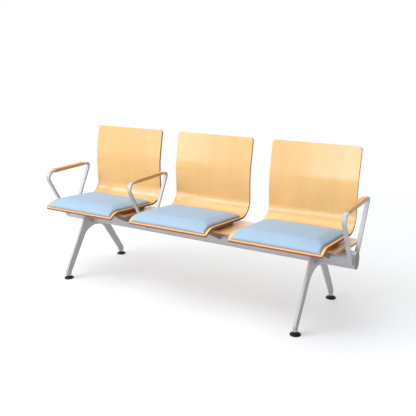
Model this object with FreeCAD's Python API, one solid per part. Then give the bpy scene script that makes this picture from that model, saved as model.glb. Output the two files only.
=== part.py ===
import FreeCAD, Part
import math
import os

# Beam seating: three moulded plywood seats on one oval steel beam, carried by
# two A-shaped cast legs, with three arm loops and plywood infill panels.
# Millimetres. X runs along the beam, -Y is the front and Z is up.
# The origin is on the floor, under the middle of the beam.

# Seats along the beam
SEAT_COUNT = 3
SEAT_PITCH = 560.0

# Oval beam
BEAM_WIDTH = 59.0
BEAM_HEIGHT = 83.0
BEAM_WALL = 3.0
BEAM_CENTRE_Z = 308.5
BEAM_OVERHANG = 19.0
CAP_THICKNESS = 3.0
CAP_PLUG_DEPTH = 15.0
CAP_PLUG_WALL = 2.5
CAP_FIT = 0.1

# Moulded plywood shell
SHELL_WIDTH = 451.0
SHELL_THICKNESS = 11.0
SEAT_SLOPE = 5.0
SEAT_MID_Z = 394.0
SEAT_FRONT_FLAT = 178.0
SEAT_REAR_FLAT = 107.0
WATERFALL_RADIUS = 85.0
WATERFALL_TURN = 48.6
BEND_RADIUS = 80.0
BACK_FORWARD_LEAN = 1.0
BACK_STRAIGHT = 85.0
BACK_RADIUS = 450.0
BACK_LEAN = 11.5
SHELL_TOP_Z = 780.0
SHELL_FRONT_CORNER = 10.0
SHELL_TOP_CORNER = 16.0

# Seat pad: a thin curved board under a soft vinyl-covered cushion
PAD_INSET = 14.0
PAD_FRONT_MARGIN = 17.5
PAD_REAR_CLIMB = 9.0
PAD_THICKNESS = 23.0
PAD_CORNER = 20.0
PAD_TOP_ROUND = 12.0
PAD_BOARD_THICKNESS = 4.0
PAD_BOARD_MARGIN = 10.0
SOFT_CLEARANCE = 0.3
PAD_SCREW_INBOARD = 55.0
PAD_SCREW_FRONT = -60.0
PAD_SCREW_REAR = 85.0
PAD_SCREW_RADIUS = 2.5
PAD_SCREW_HEAD_RADIUS = 5.0
PAD_SCREW_HEAD_HEIGHT = 3.0

# Seat bracket: a pressed web with a seat flange, a panel ledge and a saddle
BRACKET_INSET = 50.5
BRACKET_SHEET = 3.0
BRACKET_FRONT = 150.0
BRACKET_REAR = 104.0
BRACKET_NOSE_HEIGHT = 34.0
BRACKET_TOE_DROP = 1.0
BRACKET_TOE_OUT = 8.0
FLANGE_WIDTH = 30.0
LEDGE_WIDTH = 26.0
SADDLE_WIDTH = 28.0
SADDLE_ABOVE_CENTRE = 10.0
BRACKET_FIT = 0.15
BEAM_BOLT_RADIUS = 4.0
BEAM_BOLT_HEAD_RADIUS = 7.0
BEAM_BOLT_HEAD_HEIGHT = 4.5
BEAM_BOLT_LENGTH = 22.0
RIVET_NUT_RADIUS = 5.5
RIVET_NUT_RIM_RADIUS = 7.0
RIVET_NUT_RIM = 1.0
RIVET_NUT_LENGTH = 16.0
RIVET_NUT_FIT = 0.1

# Bolts that hold the shell on its brackets
SEAT_BOLT_INBOARD = 15.0
SEAT_BOLT_FRONT = -105.0
SEAT_BOLT_REAR = 66.0
SEAT_BOLT_RADIUS = 3.0
SEAT_BOLT_HEAD_RADIUS = 5.5
SEAT_BOLT_HEAD_HEIGHT = 3.5
T_NUT_RADIUS = 4.0
T_NUT_RIM_RADIUS = 9.5
T_NUT_RIM = 1.5

# Plywood infill panels, one each side of an arm and one whole where no arm is
PANEL_THICKNESS = 9.0
PANEL_DROP = 17.0
PANEL_FRONT = 140.0
PANEL_REAR = 152.0
PANEL_STEP = -25.0
PANEL_GAP_TO_ARM = 5.0
PANEL_FRONT_GAP_END = 19.0
PANEL_FRONT_GAP_MIDDLE = 33.0
PANEL_GAP_TO_WEB = 1.5
PANEL_EDGE_ROUND = 1.5
PANEL_CORNER = 4.0
PANEL_SCREW_FRONT = -110.0
PANEL_SCREW_REAR = 80.0
PANEL_SCREW_RADIUS = 2.0
PANEL_SCREW_HEAD_RADIUS = 4.0
PANEL_SCREW_HEAD_HEIGHT = 2.5
PANEL_SCREW_DEPTH = 6.5

# Arm loop: one flat bar bent into a tapering loop, welded to the beam
ARM_STATIONS = (-1.5, -0.5, 1.5)
ARM_BAR_WIDTH = 20.0
ARM_BAR_THICKNESS = 10.0
ARM_TOP_Z = 565.0
ARM_FOOT_Z = 294.0
ARM_FOOT_REACH = 37.0
ARM_LEAN = 29.2
ARM_FRONT_BEND = 38.0
ARM_REAR_BEND = 20.0
ARM_EDGE_ROUND = 1.5
WELD_FIT = 0.02

# Wooden arm pad, grooved over the bar
ARM_PAD_WIDTH = 27.0
ARM_PAD_HEIGHT = 17.0
ARM_PAD_FRONT = 114.0
ARM_PAD_REAR = 125.0
ARM_PAD_BEVEL = 6.0
ARM_PAD_EDGE_ROUND = 3.5
ARM_PAD_FIT = 0.15
ARM_SCREW_Y = 70.0
ARM_SCREW_RADIUS = 2.5
ARM_SCREW_HEAD_RADIUS = 4.5
ARM_SCREW_HEAD_HEIGHT = 2.5
ARM_SCREW_BITE = 4.5

# A-shaped cast leg
LEG_GAP_TO_BRACKET = 21.0
LEG_THICKNESS = 14.0
LEG_FOOT_SPREAD = 456.0
LEG_TIP_WIDTH = 32.0
LEG_TIP_OUTER_HEIGHT = 24.0
LEG_TIP_INNER_HEIGHT = 10.0
LEG_HEAD_HALF_WIDTH = 76.0
LEG_HEAD_RIM = 16.0
LEG_ARCH_RIM = 20.0
LEG_SHOULDER_HALF_WIDTH = 80.0
LEG_SHOULDER_DROP = 26.0
LEG_SHOULDER_ROUND = 45.0
LEG_CROWN_ROUND = 16.0
LEG_EDGE_ROUND = 2.0
COLLAR_WIDTH = 7.0
COLLAR_PROUD = 8.0
LEG_BEAM_FIT = 0.15
GRUB_RADIUS = 4.0
GRUB_RECESS = 2.0

# Levelling glide: a threaded stem and a foot that swivels on its lower end
FOOT_RADIUS = 25.0
FOOT_RIM_HEIGHT = 4.5
FOOT_HEIGHT = 13.0
FOOT_CROWN_RADIUS = 9.0
FOOT_FLOOR = 4.0
STEM_RADIUS = 4.0
STEM_LENGTH_IN_LEG = 26.0
STEM_BUTTON_RADIUS = 7.0
STEM_BUTTON_HEIGHT = 4.5
HEX_ACROSS_FLATS = 13.0
HEX_HEIGHT = 6.0
GLIDE_CLEARANCE = 0.08
GLIDE_TRAVEL = 12.0
INSERT_RADIUS = 5.5
INSERT_LENGTH = 24.0
THREAD_FIT = 0.05
TIP_PIN_RADIUS = 3.0
TIP_PIN_ABOVE_TIP = 12.0

# Places worked out from the driving dimensions
half_thickness = SHELL_THICKNESS / 2.0
slope = math.radians(SEAT_SLOPE)
BEND_TURN = 90.0 + SEAT_SLOPE + BACK_FORWARD_LEAN
seat_centres = [(i - (SEAT_COUNT - 1) / 2.0) * SEAT_PITCH for i in range(SEAT_COUNT)]
arm_positions = [station * SEAT_PITCH for station in ARM_STATIONS]
end_station = SEAT_COUNT / 2.0 * SEAT_PITCH
tube_half_length = end_station + BEAM_OVERHANG - CAP_THICKNESS
bracket_x = SHELL_WIDTH / 2.0 - BRACKET_INSET
seat_bolt_x = bracket_x - SEAT_BOLT_INBOARD
pad_screw_x = bracket_x - PAD_SCREW_INBOARD
leg_x = seat_centres[-1] + bracket_x - FLANGE_WIDTH - LEG_GAP_TO_BRACKET - LEG_THICKNESS / 2.0 - COLLAR_PROUD
leg_positions = [-leg_x, leg_x]
foot_positions = [-LEG_FOOT_SPREAD / 2.0, LEG_FOOT_SPREAD / 2.0]
beam_top = BEAM_CENTRE_Z + BEAM_HEIGHT / 2.0
beam_bottom = BEAM_CENTRE_Z - BEAM_HEIGHT / 2.0
tip_bottom = FOOT_HEIGHT + GLIDE_CLEARANCE + HEX_HEIGHT + GLIDE_CLEARANCE
panel_top = -half_thickness - PANEL_DROP
panel_bottom = panel_top - PANEL_THICKNESS

X_AXIS = FreeCAD.Vector(1, 0, 0)
Y_AXIS = FreeCAD.Vector(0, 1, 0)
Z_AXIS = FreeCAD.Vector(0, 0, 1)


# Small building helpers

def block(x_pair, y_pair, z_pair):
    """A box between two corners, given as low and high values."""
    size = [high - low for low, high in (x_pair, y_pair, z_pair)]
    corner = FreeCAD.Vector(x_pair[0], y_pair[0], z_pair[0])
    return Part.makeBox(size[0], size[1], size[2], corner)


def rod(radius, length, base, axis=Z_AXIS):
    """A round bar from base along axis."""
    return Part.makeCylinder(radius, length, base, axis)


def side_point(x, point):
    """A point of a side outline, given as (y, z), placed at x."""
    return FreeCAD.Vector(x, point[0], point[1])


def line(x, start, end):
    return Part.LineSegment(side_point(x, start), side_point(x, end)).toShape()


def arc(x, start, middle, end):
    return Part.Arc(side_point(x, start), side_point(x, middle), side_point(x, end)).toShape()


def slab(edges, width):
    """A closed side outline drawn out along X."""
    face = Part.Face(Part.Wire(edges))
    return face.extrude(X_AXIS * width)


def outline_slab(x, points, width):
    """A straight-sided outline drawn out along X."""
    closed = points + points[:1]
    edges = [line(x, a, b) for a, b in zip(closed[:-1], closed[1:])]
    return slab(edges, width)


def oval(x, length, grow):
    """A solid with the beam's oval section, grown all round."""
    half_height = BEAM_HEIGHT / 2.0 + grow
    half_width = BEAM_WIDTH / 2.0 + grow
    centre = FreeCAD.Vector(x, 0, BEAM_CENTRE_Z)
    top = FreeCAD.Vector(x, 0, BEAM_CENTRE_Z + half_height)
    side = FreeCAD.Vector(x, half_width, BEAM_CENTRE_Z)
    ring = Part.Wire(Part.Ellipse(top, side, centre).toShape())
    return Part.Face(ring).extrude(X_AXIS * length)


def edges_near(shape, test):
    """The edges whose middle passes a test on its place."""
    found = []
    for edge in shape.Edges:
        middle = edge.valueAt((edge.FirstParameter + edge.LastParameter) / 2.0)
        if test(edge, middle):
            found.append(edge)
    return found


def is_along_x(edge):
    """True for a straight edge that runs along X."""
    first, last = edge.valueAt(edge.FirstParameter), edge.valueAt(edge.LastParameter)
    run = last - first
    return abs(run.x) > 0.9 * run.Length and len(edge.Vertexes) == 2


def crossing(first, second, angle_first, angle_second):
    """Where two lines meet, each given by a (y, z) point and an angle."""
    c1, s1 = math.cos(angle_first), math.sin(angle_first)
    c2, s2 = math.cos(angle_second), math.sin(angle_second)
    gap_y, gap_z = second[0] - first[0], second[1] - first[1]
    reach = (gap_y * s2 - gap_z * c2) / (c1 * s2 - s1 * c2)
    return (first[0] + reach * c1, first[1] + reach * s1)


def save(name, shape):
    shape.exportStep("parts/" + name + ".step")


# The seat's own side view: "along" runs rearwards down the seat's slope from
# above the beam, and "above" is measured square to the ply's middle surface.

def seat_point(along, above):
    y = along * math.cos(slope) + above * math.sin(slope)
    z = SEAT_MID_Z - along * math.sin(slope) + above * math.cos(slope)
    return (y, z)


def waterfall_point(turn, above):
    """A point on the front roll of the seat, after a turn in degrees."""
    centre = seat_point(-SEAT_FRONT_FLAT, -WATERFALL_RADIUS)
    angle = slope - math.radians(turn)
    radius = WATERFALL_RADIUS + above
    return (centre[0] + radius * math.sin(angle), centre[1] + radius * math.cos(angle))


def bend_point(turn, above):
    """A point in the bend from seat to back, after a turn in degrees."""
    centre = seat_point(SEAT_REAR_FLAT, BEND_RADIUS)
    angle = math.radians(turn) - slope
    radius = BEND_RADIUS - above
    return (centre[0] + radius * math.sin(angle), centre[1] - radius * math.cos(angle))


def bend_places(turn, above):
    """Start, middle and end of the first part of the bend."""
    return [bend_point(turn * share, above) for share in (0, 0.5, 1)]


def back_point(lean, above):
    """A point on the lumbar curve of the back, where the ply leans rearwards by lean degrees."""
    first = math.radians(-BACK_FORWARD_LEAN)
    foot = bend_point(BEND_TURN, 0)
    start = (foot[0] + BACK_STRAIGHT * math.sin(first), foot[1] + BACK_STRAIGHT * math.cos(first))
    centre = (start[0] + BACK_RADIUS * math.cos(first), start[1] - BACK_RADIUS * math.sin(first))
    radius = BACK_RADIUS + above
    angle = math.radians(lean)
    return (centre[0] - radius * math.cos(angle), centre[1] + radius * math.sin(angle))


def top_point(above):
    """A point of the shell's top end, straight up from the lumbar curve."""
    middle = back_point(BACK_LEAN, 0)
    angle = math.radians(BACK_LEAN)
    run = (SHELL_TOP_Z - half_thickness * math.sin(angle) - middle[1]) / math.cos(angle)
    start = back_point(BACK_LEAN, above)
    return (start[0] + run * math.sin(angle), start[1] + run * math.cos(angle))


def seat_run(x, above, front_turn):
    """Edges from the front roll to the rear end of the flat of the seat."""
    roll = [waterfall_point(front_turn * share, above) for share in (1, 0.5, 0)]
    return [arc(x, *roll), line(x, roll[2], bend_point(0, above))]


def back_run(x, above):
    """Edges of the bend and the back, up to the shell's top."""
    bend = bend_places(BEND_TURN, above)
    middle_lean = (BACK_LEAN - BACK_FORWARD_LEAN) / 2.0
    back = [back_point(lean, above) for lean in (-BACK_FORWARD_LEAN, middle_lean, BACK_LEAN)]
    return [arc(x, *bend), line(x, bend[2], back[0]), arc(x, *back), line(x, back[2], top_point(above))]


def closed_strip(x, upper, lower, ends):
    """Joins an upper and a lower run into one closed outline."""
    front = line(x, ends[0][0], ends[0][1])
    rear = line(x, ends[1][0], ends[1][1])
    return Part.__sortEdges__(upper + lower + [front, rear])


def tilted_rod(radius, bottom, top, x, along):
    """A round bar square to the seat, between two heights above the ply's middle."""
    low, high = side_point(x, seat_point(along, bottom)), side_point(x, seat_point(along, top))
    return rod(radius, top - bottom, low, high - low)


# Pieces of the seat

def bolt_places(centre):
    """Where the shell's bolts stand, as (x, along)."""
    return [(centre + side * seat_bolt_x, along)
            for side in (-1, 1) for along in (SEAT_BOLT_FRONT, SEAT_BOLT_REAR)]


def pad_screw_places(centre):
    """Where the pad's screws stand, as (x, along)."""
    return [(centre + side * pad_screw_x, along)
            for side in (-1, 1) for along in (PAD_SCREW_FRONT, PAD_SCREW_REAR)]


def make_shell(centre):
    left = centre - SHELL_WIDTH / 2.0
    right = centre + SHELL_WIDTH / 2.0
    upper, lower = (seat_run(left, a, WATERFALL_TURN) + back_run(left, a)
                    for a in (half_thickness, -half_thickness))
    ends = [[waterfall_point(WATERFALL_TURN, a) for a in (half_thickness, -half_thickness)],
            [top_point(a) for a in (half_thickness, -half_thickness)]]
    shell = slab(closed_strip(left, upper, lower, ends), SHELL_WIDTH)

    def at_side(middle):
        return min(abs(middle.x - left), abs(middle.x - right)) < 0.01

    front_y = waterfall_point(WATERFALL_TURN, 0)[0]
    top_z = top_point(0)[1]
    front = edges_near(shell, lambda e, m: at_side(m) and e.Length < SHELL_THICKNESS + 0.1
                       and abs(m.y - front_y) < SHELL_THICKNESS)
    shell = shell.makeFillet(SHELL_FRONT_CORNER, front)
    top = edges_near(shell, lambda e, m: at_side(m) and e.Length < SHELL_THICKNESS + 0.1
                     and abs(m.z - top_z) < SHELL_THICKNESS)
    shell = shell.makeFillet(SHELL_TOP_CORNER, top)
    for x, along in bolt_places(centre):
        hole = tilted_rod(T_NUT_RADIUS + THREAD_FIT, -half_thickness, half_thickness, x, along)
        rim = tilted_rod(T_NUT_RIM_RADIUS + THREAD_FIT, half_thickness - T_NUT_RIM - THREAD_FIT,
                         half_thickness + 1.0, x, along)
        shell = shell.cut(hole).cut(rim)
    for x, along in pad_screw_places(centre):
        hole = tilted_rod(PAD_SCREW_RADIUS + THREAD_FIT, -half_thickness, half_thickness, x, along)
        shell = shell.cut(hole)
    return shell


def pad_slab(centre, bottom, top, margin, corner):
    """A slab that follows the seat under the pad, smaller all round by margin."""
    half_width = SHELL_WIDTH / 2.0 - PAD_INSET - margin
    left = centre - half_width
    surface_radius = WATERFALL_RADIUS + half_thickness
    front_turn = WATERFALL_TURN - math.degrees((PAD_FRONT_MARGIN + margin) / surface_radius)
    climb = PAD_REAR_CLIMB - margin
    turn = math.degrees(climb / BEND_RADIUS) if climb > 0 else 0.0
    rear = SEAT_REAR_FLAT + min(climb, 0.0)
    upper, lower = (seat_run(left, a, front_turn)[:1] for a in (top, bottom))
    for edges, above in ((upper, top), (lower, bottom)):
        edges.append(line(left, waterfall_point(0, above), seat_point(rear, above)))
        if turn > 0:
            edges.append(arc(left, *bend_places(turn, above)))
    rear_ends = [bend_point(turn, a) if turn > 0 else seat_point(rear, a) for a in (top, bottom)]
    ends = [[waterfall_point(front_turn, a) for a in (top, bottom)], rear_ends]
    shape = slab(closed_strip(left, upper, lower, ends), 2.0 * half_width)
    corners = edges_near(shape, lambda e, m: abs(e.Length - (top - bottom)) < 0.1
                         and abs(abs(m.x - centre) - half_width) < 0.01)
    return shape.makeFillet(corner, corners)


def make_pad_board(centre):
    board = pad_slab(centre, half_thickness, half_thickness + PAD_BOARD_THICKNESS,
                     PAD_BOARD_MARGIN, PAD_CORNER - PAD_BOARD_MARGIN)
    for x, along in pad_screw_places(centre):
        hole = tilted_rod(PAD_SCREW_RADIUS + THREAD_FIT, half_thickness,
                          half_thickness + PAD_BOARD_THICKNESS, x, along)
        board = board.cut(hole)
    return board


def make_pad(centre):
    pad = pad_slab(centre, half_thickness + SOFT_CLEARANCE, half_thickness + PAD_THICKNESS,
                   0.0, PAD_CORNER)
    room = pad_slab(centre, half_thickness, half_thickness + PAD_BOARD_THICKNESS + SOFT_CLEARANCE,
                    PAD_BOARD_MARGIN - SOFT_CLEARANCE, PAD_CORNER - PAD_BOARD_MARGIN)
    upper_faces = [f for f in pad.Faces if faces_up(f, half_thickness + PAD_THICKNESS)]
    rim = rim_edges(pad, upper_faces)
    return pad.makeFillet(PAD_TOP_ROUND, rim).cut(room)


def height_above_seat(point):
    """How far a point lies above the middle of the ply."""
    along = point.y * math.cos(slope) - (point.z - SEAT_MID_Z) * math.sin(slope)
    if along > SEAT_REAR_FLAT:
        centre = seat_point(SEAT_REAR_FLAT, BEND_RADIUS)
        return BEND_RADIUS - math.hypot(point.y - centre[0], point.z - centre[1])
    if along >= -SEAT_FRONT_FLAT:
        return point.y * math.sin(slope) + (point.z - SEAT_MID_Z) * math.cos(slope)
    centre = seat_point(-SEAT_FRONT_FLAT, -WATERFALL_RADIUS)
    return math.hypot(point.y - centre[0], point.z - centre[1]) - WATERFALL_RADIUS


def faces_up(face, height):
    """True for a face that lies wholly at this height above the ply's middle."""
    return all(abs(height_above_seat(v.Point) - height) < 0.05 for v in face.Vertexes)


def rim_edges(shape, faces):
    """The edges that only one of these faces has: the outline of them all."""
    edges = [edge for face in faces for edge in face.Edges]
    return [edge for edge in edges
            if sum(1 for other in edges if other.isSame(edge)) == 1]


def make_shell_bolts(centre):
    """Bolts from under the bracket flange, up into the nuts in the shell."""
    head_top = -half_thickness - BRACKET_SHEET
    bolts = []
    for x, along in bolt_places(centre):
        shank = tilted_rod(SEAT_BOLT_RADIUS, head_top, half_thickness - 0.5, x, along)
        head = tilted_rod(SEAT_BOLT_HEAD_RADIUS, head_top - SEAT_BOLT_HEAD_HEIGHT, head_top, x, along)
        bolts.append(shank.fuse(head).removeSplitter())
    return bolts


def make_t_nuts(centre):
    nuts = []
    for x, along in bolt_places(centre):
        barrel = tilted_rod(T_NUT_RADIUS, -half_thickness, half_thickness, x, along)
        rim = tilted_rod(T_NUT_RIM_RADIUS, half_thickness - T_NUT_RIM, half_thickness, x, along)
        bore = tilted_rod(SEAT_BOLT_RADIUS + THREAD_FIT, -half_thickness - 1.0,
                          half_thickness + 1.0, x, along)
        nuts.append(barrel.fuse(rim).removeSplitter().cut(bore))
    return nuts


def make_pad_screws(centre):
    """Screws from under the shell, up into the pad's board."""
    screws = []
    for x, along in pad_screw_places(centre):
        shank = tilted_rod(PAD_SCREW_RADIUS, -half_thickness,
                           half_thickness + PAD_BOARD_THICKNESS - 0.3, x, along)
        head = tilted_rod(PAD_SCREW_HEAD_RADIUS, -half_thickness - PAD_SCREW_HEAD_HEIGHT,
                          -half_thickness, x, along)
        screws.append(shank.fuse(head).removeSplitter())
    return screws


# Bracket between the beam and the shell

def bracket_xs(centre, side, inner, outer):
    """A low and high X for a stretch measured outwards from the seat's centre."""
    pair = (centre + side * inner, centre + side * outer)
    return (min(pair), max(pair))


def tilted_plate(xs, along_pair, above_pair):
    """A plate parallel to the seat."""
    front, rear = along_pair
    low, high = above_pair
    points = [seat_point(front, low), seat_point(rear, low),
              seat_point(rear, high), seat_point(front, high)]
    return outline_slab(xs[0], points, xs[1] - xs[0])


def make_bracket(centre, side):
    web_outer = bracket_x + BRACKET_SHEET
    web_xs = bracket_xs(centre, side, bracket_x, web_outer)
    flange_xs = bracket_xs(centre, side, bracket_x - FLANGE_WIDTH, web_outer)
    ledge_xs = bracket_xs(centre, side, bracket_x, web_outer + LEDGE_WIDTH)
    saddle_xs = bracket_xs(centre, side, bracket_x - SADDLE_WIDTH, web_outer)
    toe_y = BEAM_WIDTH / 2.0 + BRACKET_TOE_OUT
    toe_z = BEAM_CENTRE_Z - BRACKET_TOE_DROP
    top = -half_thickness
    nose = top - BRACKET_NOSE_HEIGHT
    web = outline_slab(web_xs[0], [
        seat_point(-BRACKET_FRONT, top), seat_point(-BRACKET_FRONT, nose), (-toe_y, toe_z),
        (toe_y, toe_z), seat_point(BRACKET_REAR, nose), seat_point(BRACKET_REAR, top),
    ], BRACKET_SHEET)
    flange = tilted_plate(flange_xs, (-BRACKET_FRONT, BRACKET_REAR), (top - BRACKET_SHEET, top))
    ledge = tilted_plate(ledge_xs, (-BRACKET_FRONT, BRACKET_REAR),
                         (panel_bottom - BRACKET_SHEET, panel_bottom))
    saddle_length = saddle_xs[1] - saddle_xs[0]
    saddle = oval(saddle_xs[0], saddle_length, BRACKET_FIT + BRACKET_SHEET)
    upper = block(saddle_xs, (-toe_y, toe_y), (BEAM_CENTRE_Z + SADDLE_ABOVE_CENTRE, beam_top + 20.0))
    saddle = saddle.common(upper)
    bracket = web.fuse([flange, ledge, saddle])
    bracket = bracket.cut(oval(saddle_xs[0] - 1.0, saddle_length + 2.0, BRACKET_FIT))
    for x, along in bolt_places(centre):
        if (x - centre) * side > 0:
            bracket = bracket.cut(tilted_rod(SEAT_BOLT_RADIUS + THREAD_FIT, top - 2.0 * BRACKET_SHEET,
                                             top + 1.0, x, along))
    bracket = bracket.cut(beam_bolt_hole(centre, side))
    panel_screw_x = centre + side * (web_outer + LEDGE_WIDTH / 2.0)
    for along in (PANEL_SCREW_FRONT, PANEL_SCREW_REAR):
        bracket = bracket.cut(tilted_rod(PANEL_SCREW_RADIUS + THREAD_FIT,
                                         panel_bottom - 2.0 * BRACKET_SHEET, panel_bottom + 1.0,
                                         panel_screw_x, along))
    return bracket.removeSplitter()


def beam_bolt_x(centre, side):
    return centre + side * (bracket_x - SADDLE_WIDTH / 2.0)


def beam_bolt_hole(centre, side):
    base = FreeCAD.Vector(beam_bolt_x(centre, side), 0, beam_top - 1.0)
    return rod(BEAM_BOLT_RADIUS + THREAD_FIT, 30.0, base)


def make_beam_bolt(centre, side):
    """A bolt that holds a bracket's saddle down on the beam."""
    x = beam_bolt_x(centre, side)
    seat = beam_top + BRACKET_FIT + BRACKET_SHEET
    shank = rod(BEAM_BOLT_RADIUS, BEAM_BOLT_LENGTH, FreeCAD.Vector(x, 0, seat - BEAM_BOLT_LENGTH))
    head = rod(BEAM_BOLT_HEAD_RADIUS, BEAM_BOLT_HEAD_HEIGHT, FreeCAD.Vector(x, 0, seat))
    return shank.fuse(head).removeSplitter()


def make_rivet_nut(centre, side):
    """A threaded rivet nut in the top wall of the beam, its bulb close under the curved wall."""
    x = beam_bolt_x(centre, side)
    half_height = BEAM_HEIGHT / 2.0 - BEAM_WALL
    half_width = BEAM_WIDTH / 2.0 - BEAM_WALL
    wall_at_rim = BEAM_CENTRE_Z + half_height * math.sqrt(1.0 - (RIVET_NUT_RIM_RADIUS / half_width) ** 2)
    barrel = rod(RIVET_NUT_RADIUS, RIVET_NUT_LENGTH, FreeCAD.Vector(x, 0, beam_top - RIVET_NUT_LENGTH))
    bulb = rod(RIVET_NUT_RIM_RADIUS, RIVET_NUT_RIM,
               FreeCAD.Vector(x, 0, wall_at_rim - RIVET_NUT_RIM - RIVET_NUT_FIT))
    bore = rod(BEAM_BOLT_RADIUS + THREAD_FIT, RIVET_NUT_LENGTH + 2.0,
               FreeCAD.Vector(x, 0, beam_top - RIVET_NUT_LENGTH - 1.0))
    body = barrel.fuse(bulb).removeSplitter().cut(bore)
    return body.common(oval(x - RIVET_NUT_RIM_RADIUS, 2.0 * RIVET_NUT_RIM_RADIUS, 0))


# Beam and caps

def make_beam():
    beam = oval(-tube_half_length, 2.0 * tube_half_length, 0)
    beam = beam.cut(oval(-tube_half_length, 2.0 * tube_half_length, -BEAM_WALL))
    for centre in seat_centres:
        for side in (-1, 1):
            base = FreeCAD.Vector(beam_bolt_x(centre, side), 0, beam_top - 2.0 * BEAM_WALL)
            beam = beam.cut(rod(RIVET_NUT_RADIUS + THREAD_FIT, 4.0 * BEAM_WALL, base))
    return beam


def make_cap(side):
    """An end cap: an oval plate with a hollow plug that fits inside the tube."""
    plate = oval(0, CAP_THICKNESS, 0)
    plug = oval(-CAP_PLUG_DEPTH, CAP_PLUG_DEPTH, -BEAM_WALL - CAP_FIT)
    hollow = oval(-CAP_PLUG_DEPTH, CAP_PLUG_DEPTH, -BEAM_WALL - CAP_FIT - CAP_PLUG_WALL)
    cap = plate.fuse(plug.cut(hollow)).removeSplitter()
    if side < 0:
        cap = cap.mirror(FreeCAD.Vector(0, 0, 0), X_AXIS)
    cap.translate(X_AXIS * (side * tube_half_length))
    return cap


# Legs and glides

def leg_side(sign):
    """Named points of one half of the leg's side view."""
    foot = LEG_FOOT_SPREAD / 2.0
    tip_outer = (foot + LEG_TIP_WIDTH / 2.0, tip_bottom + LEG_TIP_OUTER_HEIGHT)
    rise = (BEAM_CENTRE_Z - tip_outer[1]) / (tip_outer[0] - LEG_HEAD_HALF_WIDTH)
    head_top = beam_top + LEG_HEAD_RIM
    head_half = LEG_HEAD_HALF_WIDTH - (head_top - BEAM_CENTRE_Z) / rise
    points = {
        "crown": (head_half, head_top),
        "tip_outer": tip_outer,
        "tip_outer_low": (tip_outer[0], tip_bottom),
        "tip_inner_low": (foot - LEG_TIP_WIDTH / 2.0, tip_bottom),
        "tip_inner": (foot - LEG_TIP_WIDTH / 2.0, tip_bottom + LEG_TIP_INNER_HEIGHT),
        "shoulder": (LEG_SHOULDER_HALF_WIDTH, beam_bottom - LEG_ARCH_RIM - LEG_SHOULDER_DROP),
    }
    return {name: (sign * y, z) for name, (y, z) in points.items()}


def make_leg(x):
    left = x - LEG_THICKNESS / 2.0
    front, rear = leg_side(-1), leg_side(1)
    arch_top = (0, beam_bottom - LEG_ARCH_RIM)
    path = [front["crown"], front["tip_outer"], front["tip_outer_low"], front["tip_inner_low"],
            front["tip_inner"], front["shoulder"]]
    edges = [line(left, a, b) for a, b in zip(path[:-1], path[1:])]
    edges.append(arc(left, front["shoulder"], arch_top, rear["shoulder"]))
    path = [rear["shoulder"], rear["tip_inner"], rear["tip_inner_low"], rear["tip_outer_low"],
            rear["tip_outer"], rear["crown"], front["crown"]]
    edges += [line(left, a, b) for a, b in zip(path[:-1], path[1:])]
    leg = slab(edges, LEG_THICKNESS)

    shoulders = edges_near(leg, lambda e, m: is_along_x(e) and abs(m.z - front["shoulder"][1]) < 0.01)
    leg = leg.makeFillet(LEG_SHOULDER_ROUND, shoulders)
    crown = edges_near(leg, lambda e, m: is_along_x(e) and abs(m.z - front["crown"][1]) < 0.01)
    leg = leg.makeFillet(LEG_CROWN_ROUND, crown)
    rims = edges_near(leg, lambda e, m: min(abs(m.x - left), abs(m.x - left - LEG_THICKNESS)) < 0.01
                      and m.z > tip_bottom + 0.01)
    leg = leg.makeFillet(LEG_EDGE_ROUND, rims)

    collar_length = LEG_THICKNESS + 2.0 * COLLAR_PROUD
    leg = leg.fuse(oval(x - collar_length / 2.0, collar_length, LEG_BEAM_FIT + COLLAR_WIDTH))
    leg = leg.cut(oval(x - collar_length, 2.0 * collar_length, LEG_BEAM_FIT))
    leg = leg.cut(rod(GRUB_RADIUS + THREAD_FIT, 4.0 * LEG_ARCH_RIM,
                      FreeCAD.Vector(x, 0, beam_bottom - 2.0 * LEG_ARCH_RIM)))
    leg = leg.cut(rod(GRUB_RADIUS + THREAD_FIT, 2.0 * LEG_HEAD_RIM, FreeCAD.Vector(x, 0, beam_top)))
    for y in foot_positions:
        depth = INSERT_LENGTH + GLIDE_TRAVEL / 2.0
        leg = leg.cut(rod(INSERT_RADIUS + THREAD_FIT, depth, FreeCAD.Vector(x, y, tip_bottom)))
        leg = leg.cut(make_tip_pin(x, y, THREAD_FIT, 1.0))
    return leg.removeSplitter()


def make_tip_pin(x, y, grow, extra):
    """The cross pin that keeps the threaded insert in the leg's tip, in two halves."""
    half = LEG_THICKNESS / 2.0
    z = tip_bottom + TIP_PIN_ABOVE_TIP
    base = FreeCAD.Vector(x - half - extra, y, z)
    return rod(TIP_PIN_RADIUS + grow, 2.0 * (half + extra), base, X_AXIS)


def make_tip_pins(x, y):
    core = rod(INSERT_RADIUS + THREAD_FIT, INSERT_LENGTH, FreeCAD.Vector(x, y, tip_bottom))
    return make_tip_pin(x, y, 0, 0).cut(core)


def make_grub_screws(x):
    """The two screws that lock the leg on the beam, one from below and one from above."""
    low = beam_bottom - LEG_ARCH_RIM + GRUB_RECESS
    lower = rod(GRUB_RADIUS, beam_bottom - low - LEG_BEAM_FIT, FreeCAD.Vector(x, 0, low))
    base = FreeCAD.Vector(x, 0, beam_top + LEG_BEAM_FIT)
    upper = rod(GRUB_RADIUS, LEG_HEAD_RIM - LEG_BEAM_FIT - GRUB_RECESS, base)
    return [lower, upper]


def make_insert(x, y):
    """The threaded insert in a leg's tip."""
    base = FreeCAD.Vector(x, y, tip_bottom)
    barrel = rod(INSERT_RADIUS, INSERT_LENGTH, base)
    bore_base = FreeCAD.Vector(x, y, tip_bottom - 1.0)
    return barrel.cut(rod(STEM_RADIUS + THREAD_FIT, INSERT_LENGTH + 2.0, bore_base))


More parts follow.
